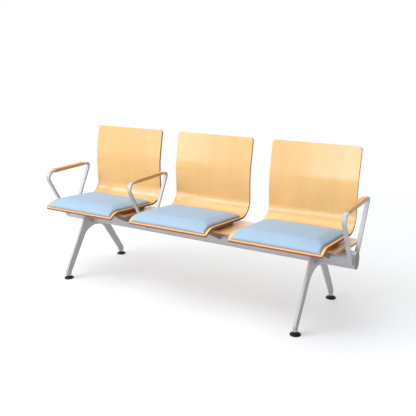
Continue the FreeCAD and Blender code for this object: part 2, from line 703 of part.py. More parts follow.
def make_stem(x, y):
    """A levelling stem: a button that the foot turns on, a hexagon and the thread."""
    button = rod(STEM_BUTTON_RADIUS, STEM_BUTTON_HEIGHT,
                 FreeCAD.Vector(x, y, FOOT_FLOOR + GLIDE_CLEARANCE))
    hex_low = FOOT_HEIGHT + GLIDE_CLEARANCE
    top = tip_bottom + STEM_LENGTH_IN_LEG
    shaft_low = FOOT_FLOOR + GLIDE_CLEARANCE
    shaft = rod(STEM_RADIUS, top - shaft_low, FreeCAD.Vector(x, y, shaft_low))
    reach = HEX_ACROSS_FLATS / 2.0 / math.cos(math.radians(30.0))
    corners = [FreeCAD.Vector(x + reach * math.cos(math.radians(60.0 * i)),
                              y + reach * math.sin(math.radians(60.0 * i)), hex_low) for i in range(7)]
    nut = Part.Face(Part.makePolygon(corners)).extrude(Z_AXIS * HEX_HEIGHT)
    return shaft.fuse([button, nut]).removeSplitter()


def make_foot(x, y):
    """The domed foot, hollow inside for the stem's button."""
    dome_z = (FOOT_RIM_HEIGHT + FOOT_HEIGHT) / 2.0 + 1.2
    dome_r = (FOOT_RADIUS + FOOT_CROWN_RADIUS) / 2.0
    profile = [(0, 0), (FOOT_RADIUS, 0), (FOOT_RADIUS, FOOT_RIM_HEIGHT)]
    points = [FreeCAD.Vector(x + r, y, z) for r, z in profile]
    edges = [Part.LineSegment(a, b).toShape() for a, b in zip(points[:-1], points[1:])]
    crown = FreeCAD.Vector(x + FOOT_CROWN_RADIUS, y, FOOT_HEIGHT)
    edges.append(Part.Arc(points[-1], FreeCAD.Vector(x + dome_r, y, dome_z), crown).toShape())
    axis_top = FreeCAD.Vector(x, y, FOOT_HEIGHT)
    edges.append(Part.LineSegment(crown, axis_top).toShape())
    edges.append(Part.LineSegment(axis_top, points[0]).toShape())
    foot = Part.Face(Part.Wire(edges)).revolve(FreeCAD.Vector(x, y, 0), Z_AXIS, 360)
    pocket = rod(STEM_BUTTON_RADIUS + GLIDE_CLEARANCE, STEM_BUTTON_HEIGHT + 2.0 * GLIDE_CLEARANCE,
                 FreeCAD.Vector(x, y, FOOT_FLOOR))
    neck = rod(STEM_RADIUS + GLIDE_CLEARANCE, FOOT_HEIGHT, FreeCAD.Vector(x, y, FOOT_FLOOR))
    return foot.cut(pocket).cut(neck)


# Arm loops and their pads

def arm_outline(grow):
    """Corners and bends of the loop, the outer face for grow 0 and the inner for less."""
    lean = math.radians(ARM_LEAN)
    shift = grow / math.cos(lean)
    top = ARM_TOP_Z + grow
    corner_y = ARM_FOOT_REACH + shift + (top - ARM_FOOT_Z) * math.tan(lean)
    low_y = ARM_FOOT_REACH + shift
    return corner_y, top, low_y, lean


def arm_edges(x, grow):
    """One face of the bent bar, from the front foot over the top to the rear foot."""
    corner_y, top, low_y, lean = arm_outline(grow)
    turn = math.radians(90.0) + lean
    edges = []
    ends = []
    for sign, radius in ((-1, ARM_FRONT_BEND + grow), (1, ARM_REAR_BEND + grow)):
        run = radius * math.tan(turn / 2.0)
        on_top = (corner_y - run, top)
        on_leg = (corner_y - run * math.sin(lean), top - run * math.cos(lean))
        centre = (corner_y - run, top - radius)
        middle_angle = (math.radians(90.0) - lean) / 2.0
        middle = (centre[0] + radius * math.cos(middle_angle) * 1.0,
                  centre[1] + radius * math.sin(middle_angle))
        low = (low_y, ARM_FOOT_Z)
        flip = [(sign * y, z) for y, z in (low, on_leg, middle, on_top)]
        edges.append(line(x, flip[0], flip[1]))
        edges.append(arc(x, flip[1], flip[2], flip[3]))
        ends.append((flip[0], flip[3]))
    edges.append(line(x, ends[0][1], ends[1][1]))
    return edges, ends


def make_arm(x):
    left = x - ARM_BAR_WIDTH / 2.0
    outer, outer_ends = arm_edges(left, 0.0)
    inner, inner_ends = arm_edges(left, -ARM_BAR_THICKNESS)
    feet = [line(left, outer_ends[i][0], inner_ends[i][0]) for i in (0, 1)]
    bar = slab(Part.__sortEdges__(outer + inner + feet), ARM_BAR_WIDTH)
    rims = edges_near(bar, lambda e, m: min(abs(m.x - left), abs(m.x - left - ARM_BAR_WIDTH)) < 0.01
                      and m.z > ARM_FOOT_Z + 0.01)
    bar = bar.makeFillet(ARM_EDGE_ROUND, rims)
    bar = bar.cut(oval(left - 1.0, ARM_BAR_WIDTH + 2.0, WELD_FIT))
    for y in (-ARM_SCREW_Y, ARM_SCREW_Y):
        base = FreeCAD.Vector(x, y, ARM_TOP_Z - 2.0 * ARM_BAR_THICKNESS)
        bar = bar.cut(rod(ARM_SCREW_RADIUS + THREAD_FIT, 4.0 * ARM_BAR_THICKNESS, base))
    return bar


def make_arm_pad(x):
    """A bevelled hardwood grip with a groove that drops over the bar."""
    low = ARM_TOP_Z - ARM_BAR_THICKNESS
    high = low + ARM_PAD_HEIGHT
    front, rear = -ARM_PAD_FRONT, ARM_PAD_REAR
    left = x - ARM_PAD_WIDTH / 2.0
    pad = outline_slab(left, [
        (front, low), (rear, low), (rear, high - ARM_PAD_BEVEL), (rear - ARM_PAD_BEVEL, high),
        (front + ARM_PAD_BEVEL, high), (front, high - ARM_PAD_BEVEL),
    ], ARM_PAD_WIDTH)
    sides = edges_near(pad, lambda e, m: min(abs(m.x - left), abs(m.x - left - ARM_PAD_WIDTH)) < 0.01
                       and m.z > low + ARM_PAD_HEIGHT / 4.0)
    pad = pad.makeFillet(ARM_PAD_EDGE_ROUND, sides)
    groove_half = ARM_BAR_WIDTH / 2.0 + ARM_PAD_FIT
    groove = block((x - groove_half, x + groove_half), (front - 1.0, rear + 1.0),
                   (low - 1.0, ARM_TOP_Z + ARM_PAD_FIT))
    pad = pad.cut(groove)
    for y in (-ARM_SCREW_Y, ARM_SCREW_Y):
        base = FreeCAD.Vector(x, y, ARM_TOP_Z)
        pad = pad.cut(rod(ARM_SCREW_RADIUS + THREAD_FIT, ARM_SCREW_BITE + 0.3, base))
    return pad


def make_arm_screws(x):
    """Screws from under the bar, up into the wooden pad."""
    low = ARM_TOP_Z - ARM_BAR_THICKNESS
    screws = []
    for y in (-ARM_SCREW_Y, ARM_SCREW_Y):
        shank = rod(ARM_SCREW_RADIUS, ARM_BAR_THICKNESS + ARM_SCREW_BITE, FreeCAD.Vector(x, y, low))
        head_base = FreeCAD.Vector(x, y, low - ARM_SCREW_HEAD_HEIGHT)
        head = rod(ARM_SCREW_HEAD_RADIUS, ARM_SCREW_HEAD_HEIGHT, head_base)
        screws.append(shank.fuse(head).removeSplitter())
    return screws


# Infill panels

def web_face(centre, side):
    """The outer face of a bracket's web, with the panel's gap."""
    return centre + side * (bracket_x + BRACKET_SHEET + PANEL_GAP_TO_WEB)


def panel_spans():
    """Each panel's name, its X stretch, and the shorter stretch of its front half."""
    arm_side = ARM_BAR_WIDTH / 2.0
    rear = arm_side + PANEL_GAP_TO_ARM
    half = SEAT_COUNT / 2.0
    spans = []
    for i in range(SEAT_COUNT + 1):
        station = i - half
        x = station * SEAT_PITCH
        is_end = i in (0, SEAT_COUNT)
        front = arm_side + (PANEL_FRONT_GAP_END if is_end else PANEL_FRONT_GAP_MIDDLE)
        before = web_face(seat_centres[i - 1], 1) if i > 0 else None
        after = web_face(seat_centres[i], -1) if i < SEAT_COUNT else None
        if station not in ARM_STATIONS:
            spans.append(("between_%d_%d" % (i, i + 1), (before, after), (before, after)))
            continue
        if before is not None:
            spans.append(("right_of_seat_%d" % i, (before, x - rear), (before, x - front)))
        if after is not None:
            spans.append(("left_of_seat_%d" % (i + 1), (x + rear, after), (x + front, after)))
    return spans


def panel_screw_xs(low, high):
    """The bracket ledges that lie under this stretch."""
    xs = [centre + side * (bracket_x + BRACKET_SHEET + LEDGE_WIDTH / 2.0)
          for centre in seat_centres for side in (-1, 1)]
    return [x for x in xs if low < x < high]


def make_panel(span, front_span):
    low, high = span
    front_low, front_high = front_span
    plan = [(front_low, -PANEL_FRONT), (front_high, -PANEL_FRONT), (high, PANEL_REAR), (low, PANEL_REAR)]
    if front_low > low:
        plan += [(low, PANEL_STEP), (front_low, PANEL_STEP)]
    if front_high < high:
        plan[2:2] = [(front_high, PANEL_STEP), (high, PANEL_STEP)]
    corners = [side_point(x, seat_point(along, panel_bottom)) for x, along in plan + plan[:1]]
    square = FreeCAD.Vector(0, math.sin(slope), math.cos(slope))
    panel = Part.Face(Part.makePolygon(corners)).extrude(square * PANEL_THICKNESS)
    upright = edges_near(panel, lambda e, m: abs(e.Length - PANEL_THICKNESS) < 0.01)
    panel = panel.makeFillet(PANEL_CORNER, upright)
    top_edges = edges_near(panel, lambda e, m: abs(height_above_seat(m) - panel_top) < 0.01)
    panel = panel.makeFillet(PANEL_EDGE_ROUND, top_edges)
    for x in panel_screw_xs(low, high):
        for along in (PANEL_SCREW_FRONT, PANEL_SCREW_REAR):
            panel = panel.cut(tilted_rod(PANEL_SCREW_RADIUS + THREAD_FIT, panel_bottom - 1.0,
                                         panel_bottom + PANEL_SCREW_DEPTH + 0.3, x, along))
    return panel


def make_panel_screws(low, high):
    """Screws from under the bracket ledges, up into the panel."""
    ledge_low = panel_bottom - BRACKET_SHEET
    screws = []
    for x in panel_screw_xs(low, high):
        for along in (PANEL_SCREW_FRONT, PANEL_SCREW_REAR):
            shank = tilted_rod(PANEL_SCREW_RADIUS, ledge_low, panel_bottom + PANEL_SCREW_DEPTH, x, along)
            head = tilted_rod(PANEL_SCREW_HEAD_RADIUS, ledge_low - PANEL_SCREW_HEAD_HEIGHT,
                              ledge_low, x, along)
            screws.append(shank.fuse(head).removeSplitter())
    return screws


# Put the parts together and write them out

def write_beam_and_legs():
    save("beam", make_beam())
    for side, word in ((-1, "left"), (1, "right")):
        save("beam_end_cap_" + word, make_cap(side))
    for x, word in zip(leg_positions, ("left", "right")):
        save("leg_" + word, make_leg(x))
        for y, place in zip(foot_positions, ("front", "rear")):
            save("glide_stem_%s_%s" % (place, word), make_stem(x, y))
            save("glide_foot_%s_%s" % (place, word), make_foot(x, y))
    corners = [(x, y) for x in leg_positions for y in foot_positions]
    save("leg_tip_inserts", Part.makeCompound([make_insert(x, y) for x, y in corners]))
    pins = [solid for x, y in corners for solid in make_tip_pins(x, y).Solids]
    save("leg_tip_pins", Part.makeCompound(pins))
    grubs = [screw for x in leg_positions for screw in make_grub_screws(x)]
    save("leg_lock_screws", Part.makeCompound(grubs))


def write_seats():
    bolts, nuts, screws, beam_bolts, rivet_nuts = [], [], [], [], []
    for number, centre in enumerate(seat_centres, start=1):
        save("seat_shell_%d" % number, make_shell(centre))
        save("seat_pad_board_%d" % number, make_pad_board(centre))
        save("seat_pad_%d" % number, make_pad(centre))
        bolts += make_shell_bolts(centre)
        nuts += make_t_nuts(centre)
        screws += make_pad_screws(centre)
        for side, word in ((-1, "left"), (1, "right")):
            save("seat_bracket_%d_%s" % (number, word), make_bracket(centre, side))
            beam_bolts.append(make_beam_bolt(centre, side))
            rivet_nuts.append(make_rivet_nut(centre, side))
    save("seat_shell_bolts", Part.makeCompound(bolts))
    save("seat_shell_nuts", Part.makeCompound(nuts))
    save("seat_pad_screws", Part.makeCompound(screws))
    save("bracket_bolts", Part.makeCompound(beam_bolts))
    save("beam_rivet_nuts", Part.makeCompound(rivet_nuts))


def write_arms():
    words = ("left", "middle", "right")
    screws = []
    for x, word in zip(arm_positions, words):
        save("arm_loop_" + word, make_arm(x))
        save("arm_pad_" + word, make_arm_pad(x))
        screws += make_arm_screws(x)
    save("arm_pad_screws", Part.makeCompound(screws))


def write_panels():
    screws = []
    for name, span, front_span in panel_spans():
        save("infill_panel_" + name, make_panel(span, front_span))
        screws += make_panel_screws(span[0], span[1])
    save("infill_panel_screws", Part.makeCompound(screws))


os.makedirs("parts", exist_ok=True)
write_beam_and_legs()
write_seats()
write_arms()
write_panels()
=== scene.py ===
# %% [markdown]
# # A waiting-room bench in plywood, vinyl and painted steel
#
# The real object is a row of three moulded plywood seats that share one oval steel beam. Two A-shaped
# legs carry the beam, three bent steel arms rise from it, and a soft vinyl pad lies on each seat.
#
# The hard parts were drawn as solids first, so most of them only need a good finish here. They arrive as
# ready meshes in metres, with the floor at Z 0 and the seats facing -Y. The plywood and the pads get new
# meshes, because eased edges, thin layers of veneer and stretched vinyl are what the eye looks for.

# %% Load the frame
from math import cos, pi, radians, sin, sqrt

import bmesh
import bpy
from mathutils import Matrix, Vector


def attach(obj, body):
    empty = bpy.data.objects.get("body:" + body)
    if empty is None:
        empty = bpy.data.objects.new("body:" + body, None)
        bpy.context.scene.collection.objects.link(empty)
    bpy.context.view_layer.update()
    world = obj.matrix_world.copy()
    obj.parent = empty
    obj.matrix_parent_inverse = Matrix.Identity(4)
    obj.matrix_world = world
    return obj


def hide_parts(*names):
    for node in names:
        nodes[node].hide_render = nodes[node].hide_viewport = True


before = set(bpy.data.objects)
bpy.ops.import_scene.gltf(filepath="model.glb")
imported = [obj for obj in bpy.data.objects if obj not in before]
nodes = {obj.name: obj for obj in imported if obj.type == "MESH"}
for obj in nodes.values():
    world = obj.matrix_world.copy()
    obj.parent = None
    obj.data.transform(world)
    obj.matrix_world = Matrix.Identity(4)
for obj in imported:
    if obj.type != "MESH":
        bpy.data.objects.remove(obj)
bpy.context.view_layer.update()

# %% [markdown]
# ## The camera
#
# A camera can be placed by eye, by moving it until the edges line up, or by solving for it from points
# whose places are known on the object. It was solved, so its place and its three turns are written
# as plain numbers. A camera looks along its own -Z axis, so the matrix is built from the direction that
# it looks away from, and the small roll is added at the end.

# %% Camera
CAMERA_PLACE = Vector((1.58746, -2.50529, 1.26031))
CAMERA_YAW = radians(30.885)
CAMERA_PITCH = radians(15.576)
CAMERA_ROLL = radians(-0.454)
FOCAL_PIXELS = 605.455
IMAGE_PIXELS = 416.0
SENSOR_WIDTH = 36.0


def camera_turn(yaw, pitch, roll):
    """The turn of a camera that looks down by pitch and to the left by yaw."""
    back = Vector((sin(yaw) * cos(pitch), -cos(yaw) * cos(pitch), sin(pitch)))
    right = (-back).cross(Vector((0, 0, 1))).normalized()
    up = right.cross(-back)
    level = Matrix((right, up, back)).transposed()
    return level @ Matrix.Rotation(roll, 3, "Z")


camera = bpy.data.objects.new("camera", bpy.data.cameras.new("camera"))
camera.data.lens = SENSOR_WIDTH * FOCAL_PIXELS / IMAGE_PIXELS
camera.data.sensor_width = SENSOR_WIDTH
camera.matrix_world = (Matrix.Translation(CAMERA_PLACE)
                       @ camera_turn(CAMERA_YAW, CAMERA_PITCH, CAMERA_ROLL).to_4x4())
bpy.context.scene.collection.objects.link(camera)
bpy.context.scene.camera = camera
print("camera lens:", round(camera.data.lens, 2), "mm")

# %% [markdown]
# ## Sums in the shader
#
# A procedural finish is mostly arithmetic on noise. Placing each node by hand hides that arithmetic, so
# one small class stands for a value that runs through the nodes, and a plus or a minus between two such
# values adds the Math node. A second class holds a material. Its method called node makes any other node
# from its type, its settings and what goes into its sockets.

# %% A value that can be added, multiplied and compared
class Signal:
    """A socket of a finish's nodes, used like a number."""

    def __init__(self, finish, socket):
        self.finish = finish
        self.socket = socket

    def _sum(self, operation, *values):
        return self.finish.node("ShaderNodeMath", {"operation": operation}, values)

    def __add__(self, other):
        return self._sum("ADD", self, other)

    def __radd__(self, other):
        return self._sum("ADD", other, self)

    def __sub__(self, other):
        return self._sum("SUBTRACT", self, other)

    def __rsub__(self, other):
        return self._sum("SUBTRACT", other, self)

    def __mul__(self, other):
        return self._sum("MULTIPLY", self, other)

    def __rmul__(self, other):
        return self._sum("MULTIPLY", other, self)

    def __truediv__(self, other):
        return self._sum("DIVIDE", self, other)

    def __rtruediv__(self, other):
        return self._sum("DIVIDE", other, self)

    def __abs__(self):
        return self._sum("ABSOLUTE", self)

    def __gt__(self, other):
        return self._sum("GREATER_THAN", self, other)

    def __lt__(self, other):
        return self._sum("LESS_THAN", self, other)

    def part(self):
        """What is left after the whole numbers are taken off."""
        return self._sum("FRACT", self)

    def wave(self):
        """A sine wave, from -1 to 1."""
        return self._sum("SINE", self)

    def between(self, low, high):
        """0 at low, 1 at high, and a soft step between them."""
        return self.finish.node("ShaderNodeMapRange", {"interpolation_type": "SMOOTHSTEP"},
                                {"Value": self, "From Min": low, "From Max": high})


print("sums for the shader ready")


# %% A finish: one material and the nodes in it
FINISHES = {}


class Finish:
    """A procedural material for one kind of surface, kept by its name in FINISHES."""

    def __init__(self, name, **constants):
        self.material = bpy.data.materials.new(name)
        FINISHES[name] = self.material
        self.material.use_nodes = True
        self.tree = self.material.node_tree
        self.tree.nodes.clear()
        self.shader = self.tree.nodes.new("ShaderNodeBsdfPrincipled")
        self.output = self.tree.nodes.new("ShaderNodeOutputMaterial")
        self.tree.links.new(self.shader.outputs[0], self.output.inputs[0])
        for socket, value in constants.items():
            self.shader.inputs[socket.replace("_", " ")].default_value = value

    def node(self, kind, settings=None, inputs=(), out=0):
        """Any node: its type, its settings first, then a value or a link for each socket."""
        made = self.tree.nodes.new(kind)
        for setting, value in (settings or {}).items():
            setattr(made, setting, value)
        pairs = inputs.items() if isinstance(inputs, dict) else enumerate(inputs)
        for socket, value in pairs:
            if isinstance(value, Signal):
                self.tree.links.new(value.socket, made.inputs[socket])
            else:
                made.inputs[socket].default_value = value
        return Signal(self, made.outputs[out])

    def place(self):
        """The point on the surface in metres, as the solids were drawn."""
        return self.node("ShaderNodeTexCoord", out="Object")

    def facing(self):
        """The direction that the surface faces, in the piece's own axes."""
        return self.node("ShaderNodeTexCoord", out="Normal")

    def axes(self, vector):
        """The three numbers of a vector."""
        first = self.node("ShaderNodeSeparateXYZ", None, [vector])
        return [Signal(self, first.socket.node.outputs[k]) for k in range(3)]

    def stretched(self, vector, sizes):
        """The vector times a number for each axis."""
        return self.node("ShaderNodeVectorMath", {"operation": "MULTIPLY"}, [vector, sizes])

    def along(self, vector, direction):
        """How far a vector reaches in one direction."""
        settings = {"operation": "DOT_PRODUCT"}
        return self.node("ShaderNodeVectorMath", settings, [vector, direction], "Value")

    def noise(self, vector, per_metre, detail=2.0):
        """Cloudy noise between 0 and 1, with so many lumps to a metre along each axis."""
        sizes = per_metre if isinstance(per_metre, tuple) else (per_metre,) * 3
        return self.node("ShaderNodeTexNoise", None,
                         {"Vector": self.stretched(vector, sizes), "Scale": 1.0, "Detail": detail})

    def mix(self, share, first, second):
        """A colour between two colours."""
        return self.node("ShaderNodeMix", {"data_type": "RGBA"}, {0: share, 6: first, 7: second}, 2)

    def shade(self, colour, share, factor_low, factor_high):
        """The colour times factor_low where share is 0, and times factor_high where it is 1."""
        grey = self.mix(share, (factor_low,) * 3 + (1.0,), (factor_high,) * 3 + (1.0,))
        settings = {"data_type": "RGBA", "blend_type": "MULTIPLY"}
        return self.node("ShaderNodeMix", settings, {0: 1.0, 6: colour, 7: grey}, 2)

    def feed(self, **sockets):
        """Connect what changes over the surface to the shader."""
        for socket, value in sockets.items():
            self.tree.links.new(value.socket, self.shader.inputs[socket.replace("_", " ")])

    def relief(self, height, depth, strength):
        """Small bumps: height from 0 to 1 over so many metres of depth."""
        self.feed(Normal=self.node("ShaderNodeBump", None,
                                   {"Strength": strength, "Distance": depth, "Height": height}))


print("shader tools ready")

# %% [markdown]
# ## Floor
#
# The object stands on a plain pale floor in a white room. A backdrop could be a curved sheet, but a wide
# floor under a white sky gives the same look from every side. The floor shows to the camera a little
# lighter than it is, so that it is white where light falls on it and still keeps the soft shadows, and
# far from the object it fades to the same white as the sky.

# %% Floor
FLOOR_REACH = 30.0
FLOOR_LEVEL = -0.0002
FLOOR_COLOUR = (0.776, 0.801, 0.823, 1.0)
FLOOR_MOTTLE, MOTTLE_RANGE = 3.0, (0.995, 1.005)
FLOOR_GLOW = 0.25
SHADE_REACH = (1.3, 3.2)


def rays(finish, *kinds):
    """1 where light is followed for one of these kinds of ray, 0 for any other."""
    path = finish.node("ShaderNodeLightPath")
    return sum(Signal(finish, path.socket.node.outputs["Is %s Ray" % kind]) for kind in kinds)


def floor_look(finish):
    """The floor's shader: lit paint with a glow for the camera near by, and plain white far away."""
    place = finish.place()
    finish.feed(Base_Color=finish.shade(FLOOR_COLOUR, finish.noise(place, FLOOR_MOTTLE), *MOTTLE_RANGE))
    is_seen = rays(finish, "Camera", "Glossy", "Transmission")
    distance = finish.node("ShaderNodeVectorMath", {"operation": "LENGTH"}, [place], "Value")
    glow, no_glow, plain_white = (finish.node("ShaderNodeEmission", None, {"Strength": strength})
                                  for strength in (FLOOR_GLOW, 0.0, 1.0))
    shown_glow = finish.node("ShaderNodeMixShader", None, [is_seen, no_glow, glow])
    lit = Signal(finish, finish.shader.outputs[0])
    near = finish.node("ShaderNodeAddShader", None, [lit, shown_glow])
    far = distance.between(*SHADE_REACH) * is_seen
    return finish.node("ShaderNodeMixShader", None, [far, near, plain_white])


floor_mesh = bpy.data.meshes.new("floor")
corners = [(x * FLOOR_REACH, y * FLOOR_REACH, FLOOR_LEVEL)
           for x, y in ((-1, -1), (1, -1), (1, 1), (-1, 1))]
floor_mesh.from_pydata(corners, [], [(0, 1, 2, 3)])
floor = bpy.data.objects.new("floor", floor_mesh)
bpy.context.scene.collection.objects.link(floor)
floor_finish = Finish("pale_floor", Roughness=0.9, Specular_IOR_Level=0.0)
floor_finish.tree.links.new(floor_look(floor_finish).socket, floor_finish.output.inputs[0])
floor_mesh.materials.append(floor_finish.material)
print("floor nodes:", len(floor_finish.tree.nodes))

# %% [markdown]
# ## Sky
#
# In a studio the walls and the ceiling light the object as much as the lamps do. A picture of a room
# could be wrapped round the scene, but a plain sum of two directions is enough. The sky is a soft light
# that comes mostly from the upper left and the front. Lacquer and paint mirror a plain white room
# instead, one that is darker on the right, because a bright spot in the sky would show in them as a hard
# image. The camera sees plain white.

# %% Sky
WHITE = (1.0, 1.0, 1.0, 1.0)
SKY_LIGHT = 0.32
SKY_TILT = 0.28
LIGHT_SIDE = Vector((-0.35, -0.60, 0.85))
LIGHT_GAIN = 0.85
LIGHT_EDGE = 0.25
MIRROR_FALL = 0.9
MIRROR_TURN = (-0.3, 0.7)


class Sky(Finish):
    """The room's own light, made with the same tools as a finish."""

    def __init__(self, name):
        self.world = bpy.data.worlds.new(name)
        self.world.use_nodes = True
        self.tree = self.world.node_tree
        self.tree.nodes.clear()
        self.output = self.tree.nodes.new("ShaderNodeOutputWorld")

    def glow(self, strength):
        """White light of this strength."""
        shine = self.node("ShaderNodeBackground", None, {"Color": WHITE, "Strength": strength})
        self.tree.links.new(shine.socket, self.output.inputs[0])


sky = Sky("white_room")
bpy.context.scene.world = sky.world
direction = sky.node("ShaderNodeTexCoord", out="Generated")
to_the_right = sky.axes(direction)[0]
toward_light = sky.along(direction, LIGHT_SIDE.normalized()).between(LIGHT_EDGE, 1.0)
soft_light = SKY_LIGHT - SKY_TILT * to_the_right + LIGHT_GAIN * toward_light
mirror_light = 1.0 - MIRROR_FALL * to_the_right.between(*MIRROR_TURN)
sky.glow(soft_light + (1.0 - soft_light) * rays(sky, "Camera", "Transmission")
         + (mirror_light - soft_light) * rays(sky, "Glossy"))
bpy.context.scene.view_settings.view_transform = "Standard"
print("sky nodes:", len(sky.tree.nodes))

# %% [markdown]
# ## Lamps
#
# A large lamp overhead lights the tops. The lamps that stand in a row far in front of the seats light the
# backs, and the lacquer mirrors them as the pale band in each seat's bend. One lamp for all of that would
# be simpler, but then the band lies too high on the seats at one end. The two lowest are small and only
# add pale patches to the lacquer of the backs.

# %% Lamps
SEATS = (0.0, 0.1, 0.5)
RIGHT_BACK = (0.6, 0.2, 0.6)
TOPS = (-0.4, 0.0, 0.4)
PLAIN, COOL = (1.0, 1.0, 1.0), (0.86, 0.88, 1.0)
LAMPS = (
    # name, place, aim, width, height, watts, colour
    ("lamp_top", (-0.9, 0.1, 4.2), TOPS, 4.0, 3.0, 46.0, PLAIN),
    ("lamp_wall_right", (-1.38, -5.0, 2.85), SEATS, 1.25, 1.0, 19.0, COOL),
    ("lamp_wall_middle", (-3.3, -5.0, 3.5), SEATS, 1.9, 2.2, 60.0, COOL),
    ("lamp_wall_left", (-5.6, -3.5, 5.5), SEATS, 2.4, 3.4, 112.0, COOL),
    ("lamp_left_glint", (-3.57, -5.0, 1.6), SEATS, 0.76, 1.1, 9.0, COOL),
    ("lamp_right_glint", (-0.95, -5.0, 1.45), RIGHT_BACK, 0.8, 1.2, 14.5, COOL),
)


def lamp(name, place, aim, width, height, watts, colour):
    """A soft rectangular lamp at place that shines at aim."""
    light = bpy.data.lights.new(name, "AREA")
    light.shape = "RECTANGLE"
    light.size = width
    light.size_y = height
    light.energy = watts
    light.color = colour
    holder = bpy.data.objects.new(name, light)
    holder.location = place
    holder.rotation_euler = (Vector(aim) - Vector(place)).to_track_quat("-Z", "Y").to_euler()
    bpy.context.scene.collection.objects.link(holder)
    return holder.name


print("lamps:", [lamp(*row) for row in LAMPS])

# %% [markdown]
# ## Colours as a paint chart gives them
#
# A chart or a screen gives a colour as three levels from 0 to 255, and those levels don't rise evenly
# with the light. The shader wants the share of light that a surface sends back. Both could be looked up
# for each finish, but one helper with the screen's own curve lets every colour be written as on a chart.

# %% Levels into light
CURVE_KNEE, CURVE_SLOPE, CURVE_LIFT, CURVE_POWER = 0.04045, 12.92, 0.055, 2.4


def paint(red, green, blue):
    """A colour written as levels from 0 to 255, turned into the light that it sends back."""
    lights = []
    for share in (red / 255.0, green / 255.0, blue / 255.0):
        lights.append(share / CURVE_SLOPE if share <= CURVE_KNEE
                      else ((share + CURVE_LIFT) / (1.0 + CURVE_LIFT)) ** CURVE_POWER)
    return (*lights, 1.0)


print("middle grey sends back", round(paint(128, 128, 128)[0], 3))

# %% [markdown]
# ## Beech veneer
#
# The seats are pressed from sheets of beech under clear lacquer. Beech is nearly plain: a warm straw
# colour, faint long bands where the knife crossed the growth rings, fine fibres, and many short darker
# flecks along the grain. A picture could give that, but it would repeat on each seat. Noise that is
# stretched along the grain gives it at any size, and each seat takes another stretch of the same noise.

# %% Wood colour, used by every wooden piece
WOOD_LIGHT = paint(246, 196, 120)
WOOD_DEEP = paint(241, 189, 113)
DRIFT_SIZES, DRIFT_STEP = (9.0, 1.2, 9.0), (0.3, 0.7)
GROWTH_SIZES, GROWTH_LINES = (16.0, 1.6, 16.0), 70.0
FIBRE_SIZES = (900.0, 14.0, 900.0)
FLECK_SIZES, FLECK_STEP = (1500.0, 260.0, 1500.0), (0.66, 0.74)
BAND_RANGE, FIBRE_RANGE, FLECK_RANGE = (0.99, 1.008), (0.965, 1.035), (1.0, 0.9)
FIBRE_HEIGHT, FLECK_HEIGHT = 0.7, 0.3
GRAIN_DEPTH, GRAIN_STRENGTH = 0.00003, 0.5


def beech(finish, place, light, deep):
    """Beech with its grain along the second axis of place. Gives its colour and its relief."""
    drift = finish.noise(place, DRIFT_SIZES)
    growth = finish.noise(place, GROWTH_SIZES, detail=1.0)
    bands = (growth * GROWTH_LINES).wave() * 0.5 + 0.5
    fibres = finish.noise(place, FIBRE_SIZES, detail=3.0)
    flecks = finish.noise(place, FLECK_SIZES, detail=0.0).between(*FLECK_STEP)
    colour = finish.mix(drift.between(*DRIFT_STEP), light, deep)
    colour = finish.shade(colour, bands, *BAND_RANGE)
    colour = finish.shade(colour, fibres, *FIBRE_RANGE)
    colour = finish.shade(colour, flecks, *FLECK_RANGE)
    return colour, fibres * FIBRE_HEIGHT + flecks * FLECK_HEIGHT


print("beech from", [round(c, 3) for c in WOOD_LIGHT], "to", [round(c, 3) for c in WOOD_DEEP])

# %% [markdown]
# ## Cut edges
#
# On a cut edge the layers of the plywood show: fibres that run along the edge are redder, those that end
# in it are brown, and thin dark lines of glue lie between them. Stripes could be cut into the mesh, but a
# count of the depth in the sheet gives each layer its colour at any edge, round corners too.
#
# The front edge of each seat is sanded round and brown at the very rim. Next to the rim a pale band is a
# painted highlight of the rounded nose, and a deeper band behind it is painted shade where the pad's
# shadow falls.

# %% Layers on a cut edge
VENEER = 0.0006
PLY = 0.00155
PLY_RED = paint(196, 116, 66)
PLY_BROWN = paint(150, 84, 48)
GLUE = 0.12
EDGE_FIBRE_SIZES, EDGE_FIBRE_RANGE = (420.0, 420.0, 1500.0), (0.8, 1.2)
GLUE_RANGE = (1.0, 0.62)


def ply_edge(finish, place, depth, light, dark):
    """The layers that show on a cut edge: plies turned by turns, with dark glue lines."""
    level = depth / PLY
    odd = (level * 0.5).part() > 0.5
    line = level.part()
    glue = (line < GLUE) + (line > 1.0 - GLUE)
    colour = finish.mix(odd, light, dark)
    colour = finish.shade(colour, finish.noise(place, EDGE_FIBRE_SIZES), *EDGE_FIBRE_RANGE)
    return finish.shade(colour, glue.between(0.0, 1.0), *GLUE_RANGE)


print("thickness of a layer:", PLY * 1000, "mm")

# %% The sanded front edge, with a painted highlight and painted shade
NOSE_BROWN = paint(186, 122, 80)
# Painted highlight: this pale band stands for the light mirrored by the rounded nose.
NOSE_PAINTED_HIGHLIGHT = paint(227, 187, 139)
# Painted shade: this deeper band stands for the pad's shadow on the lip.
NOSE_PAINTED_SHADE = paint(222, 162, 88)
NOSE_RIM_END = (0.0006, 0.0018)
NOSE_PAINTED_HIGHLIGHT_END = (0.0040, 0.0062)
NOSE_PAINTED_SHADE_FADE = (0.0095, 0.0150)
NOSE_SPARE = 0.001
NOTE_SHIFT = 3.7


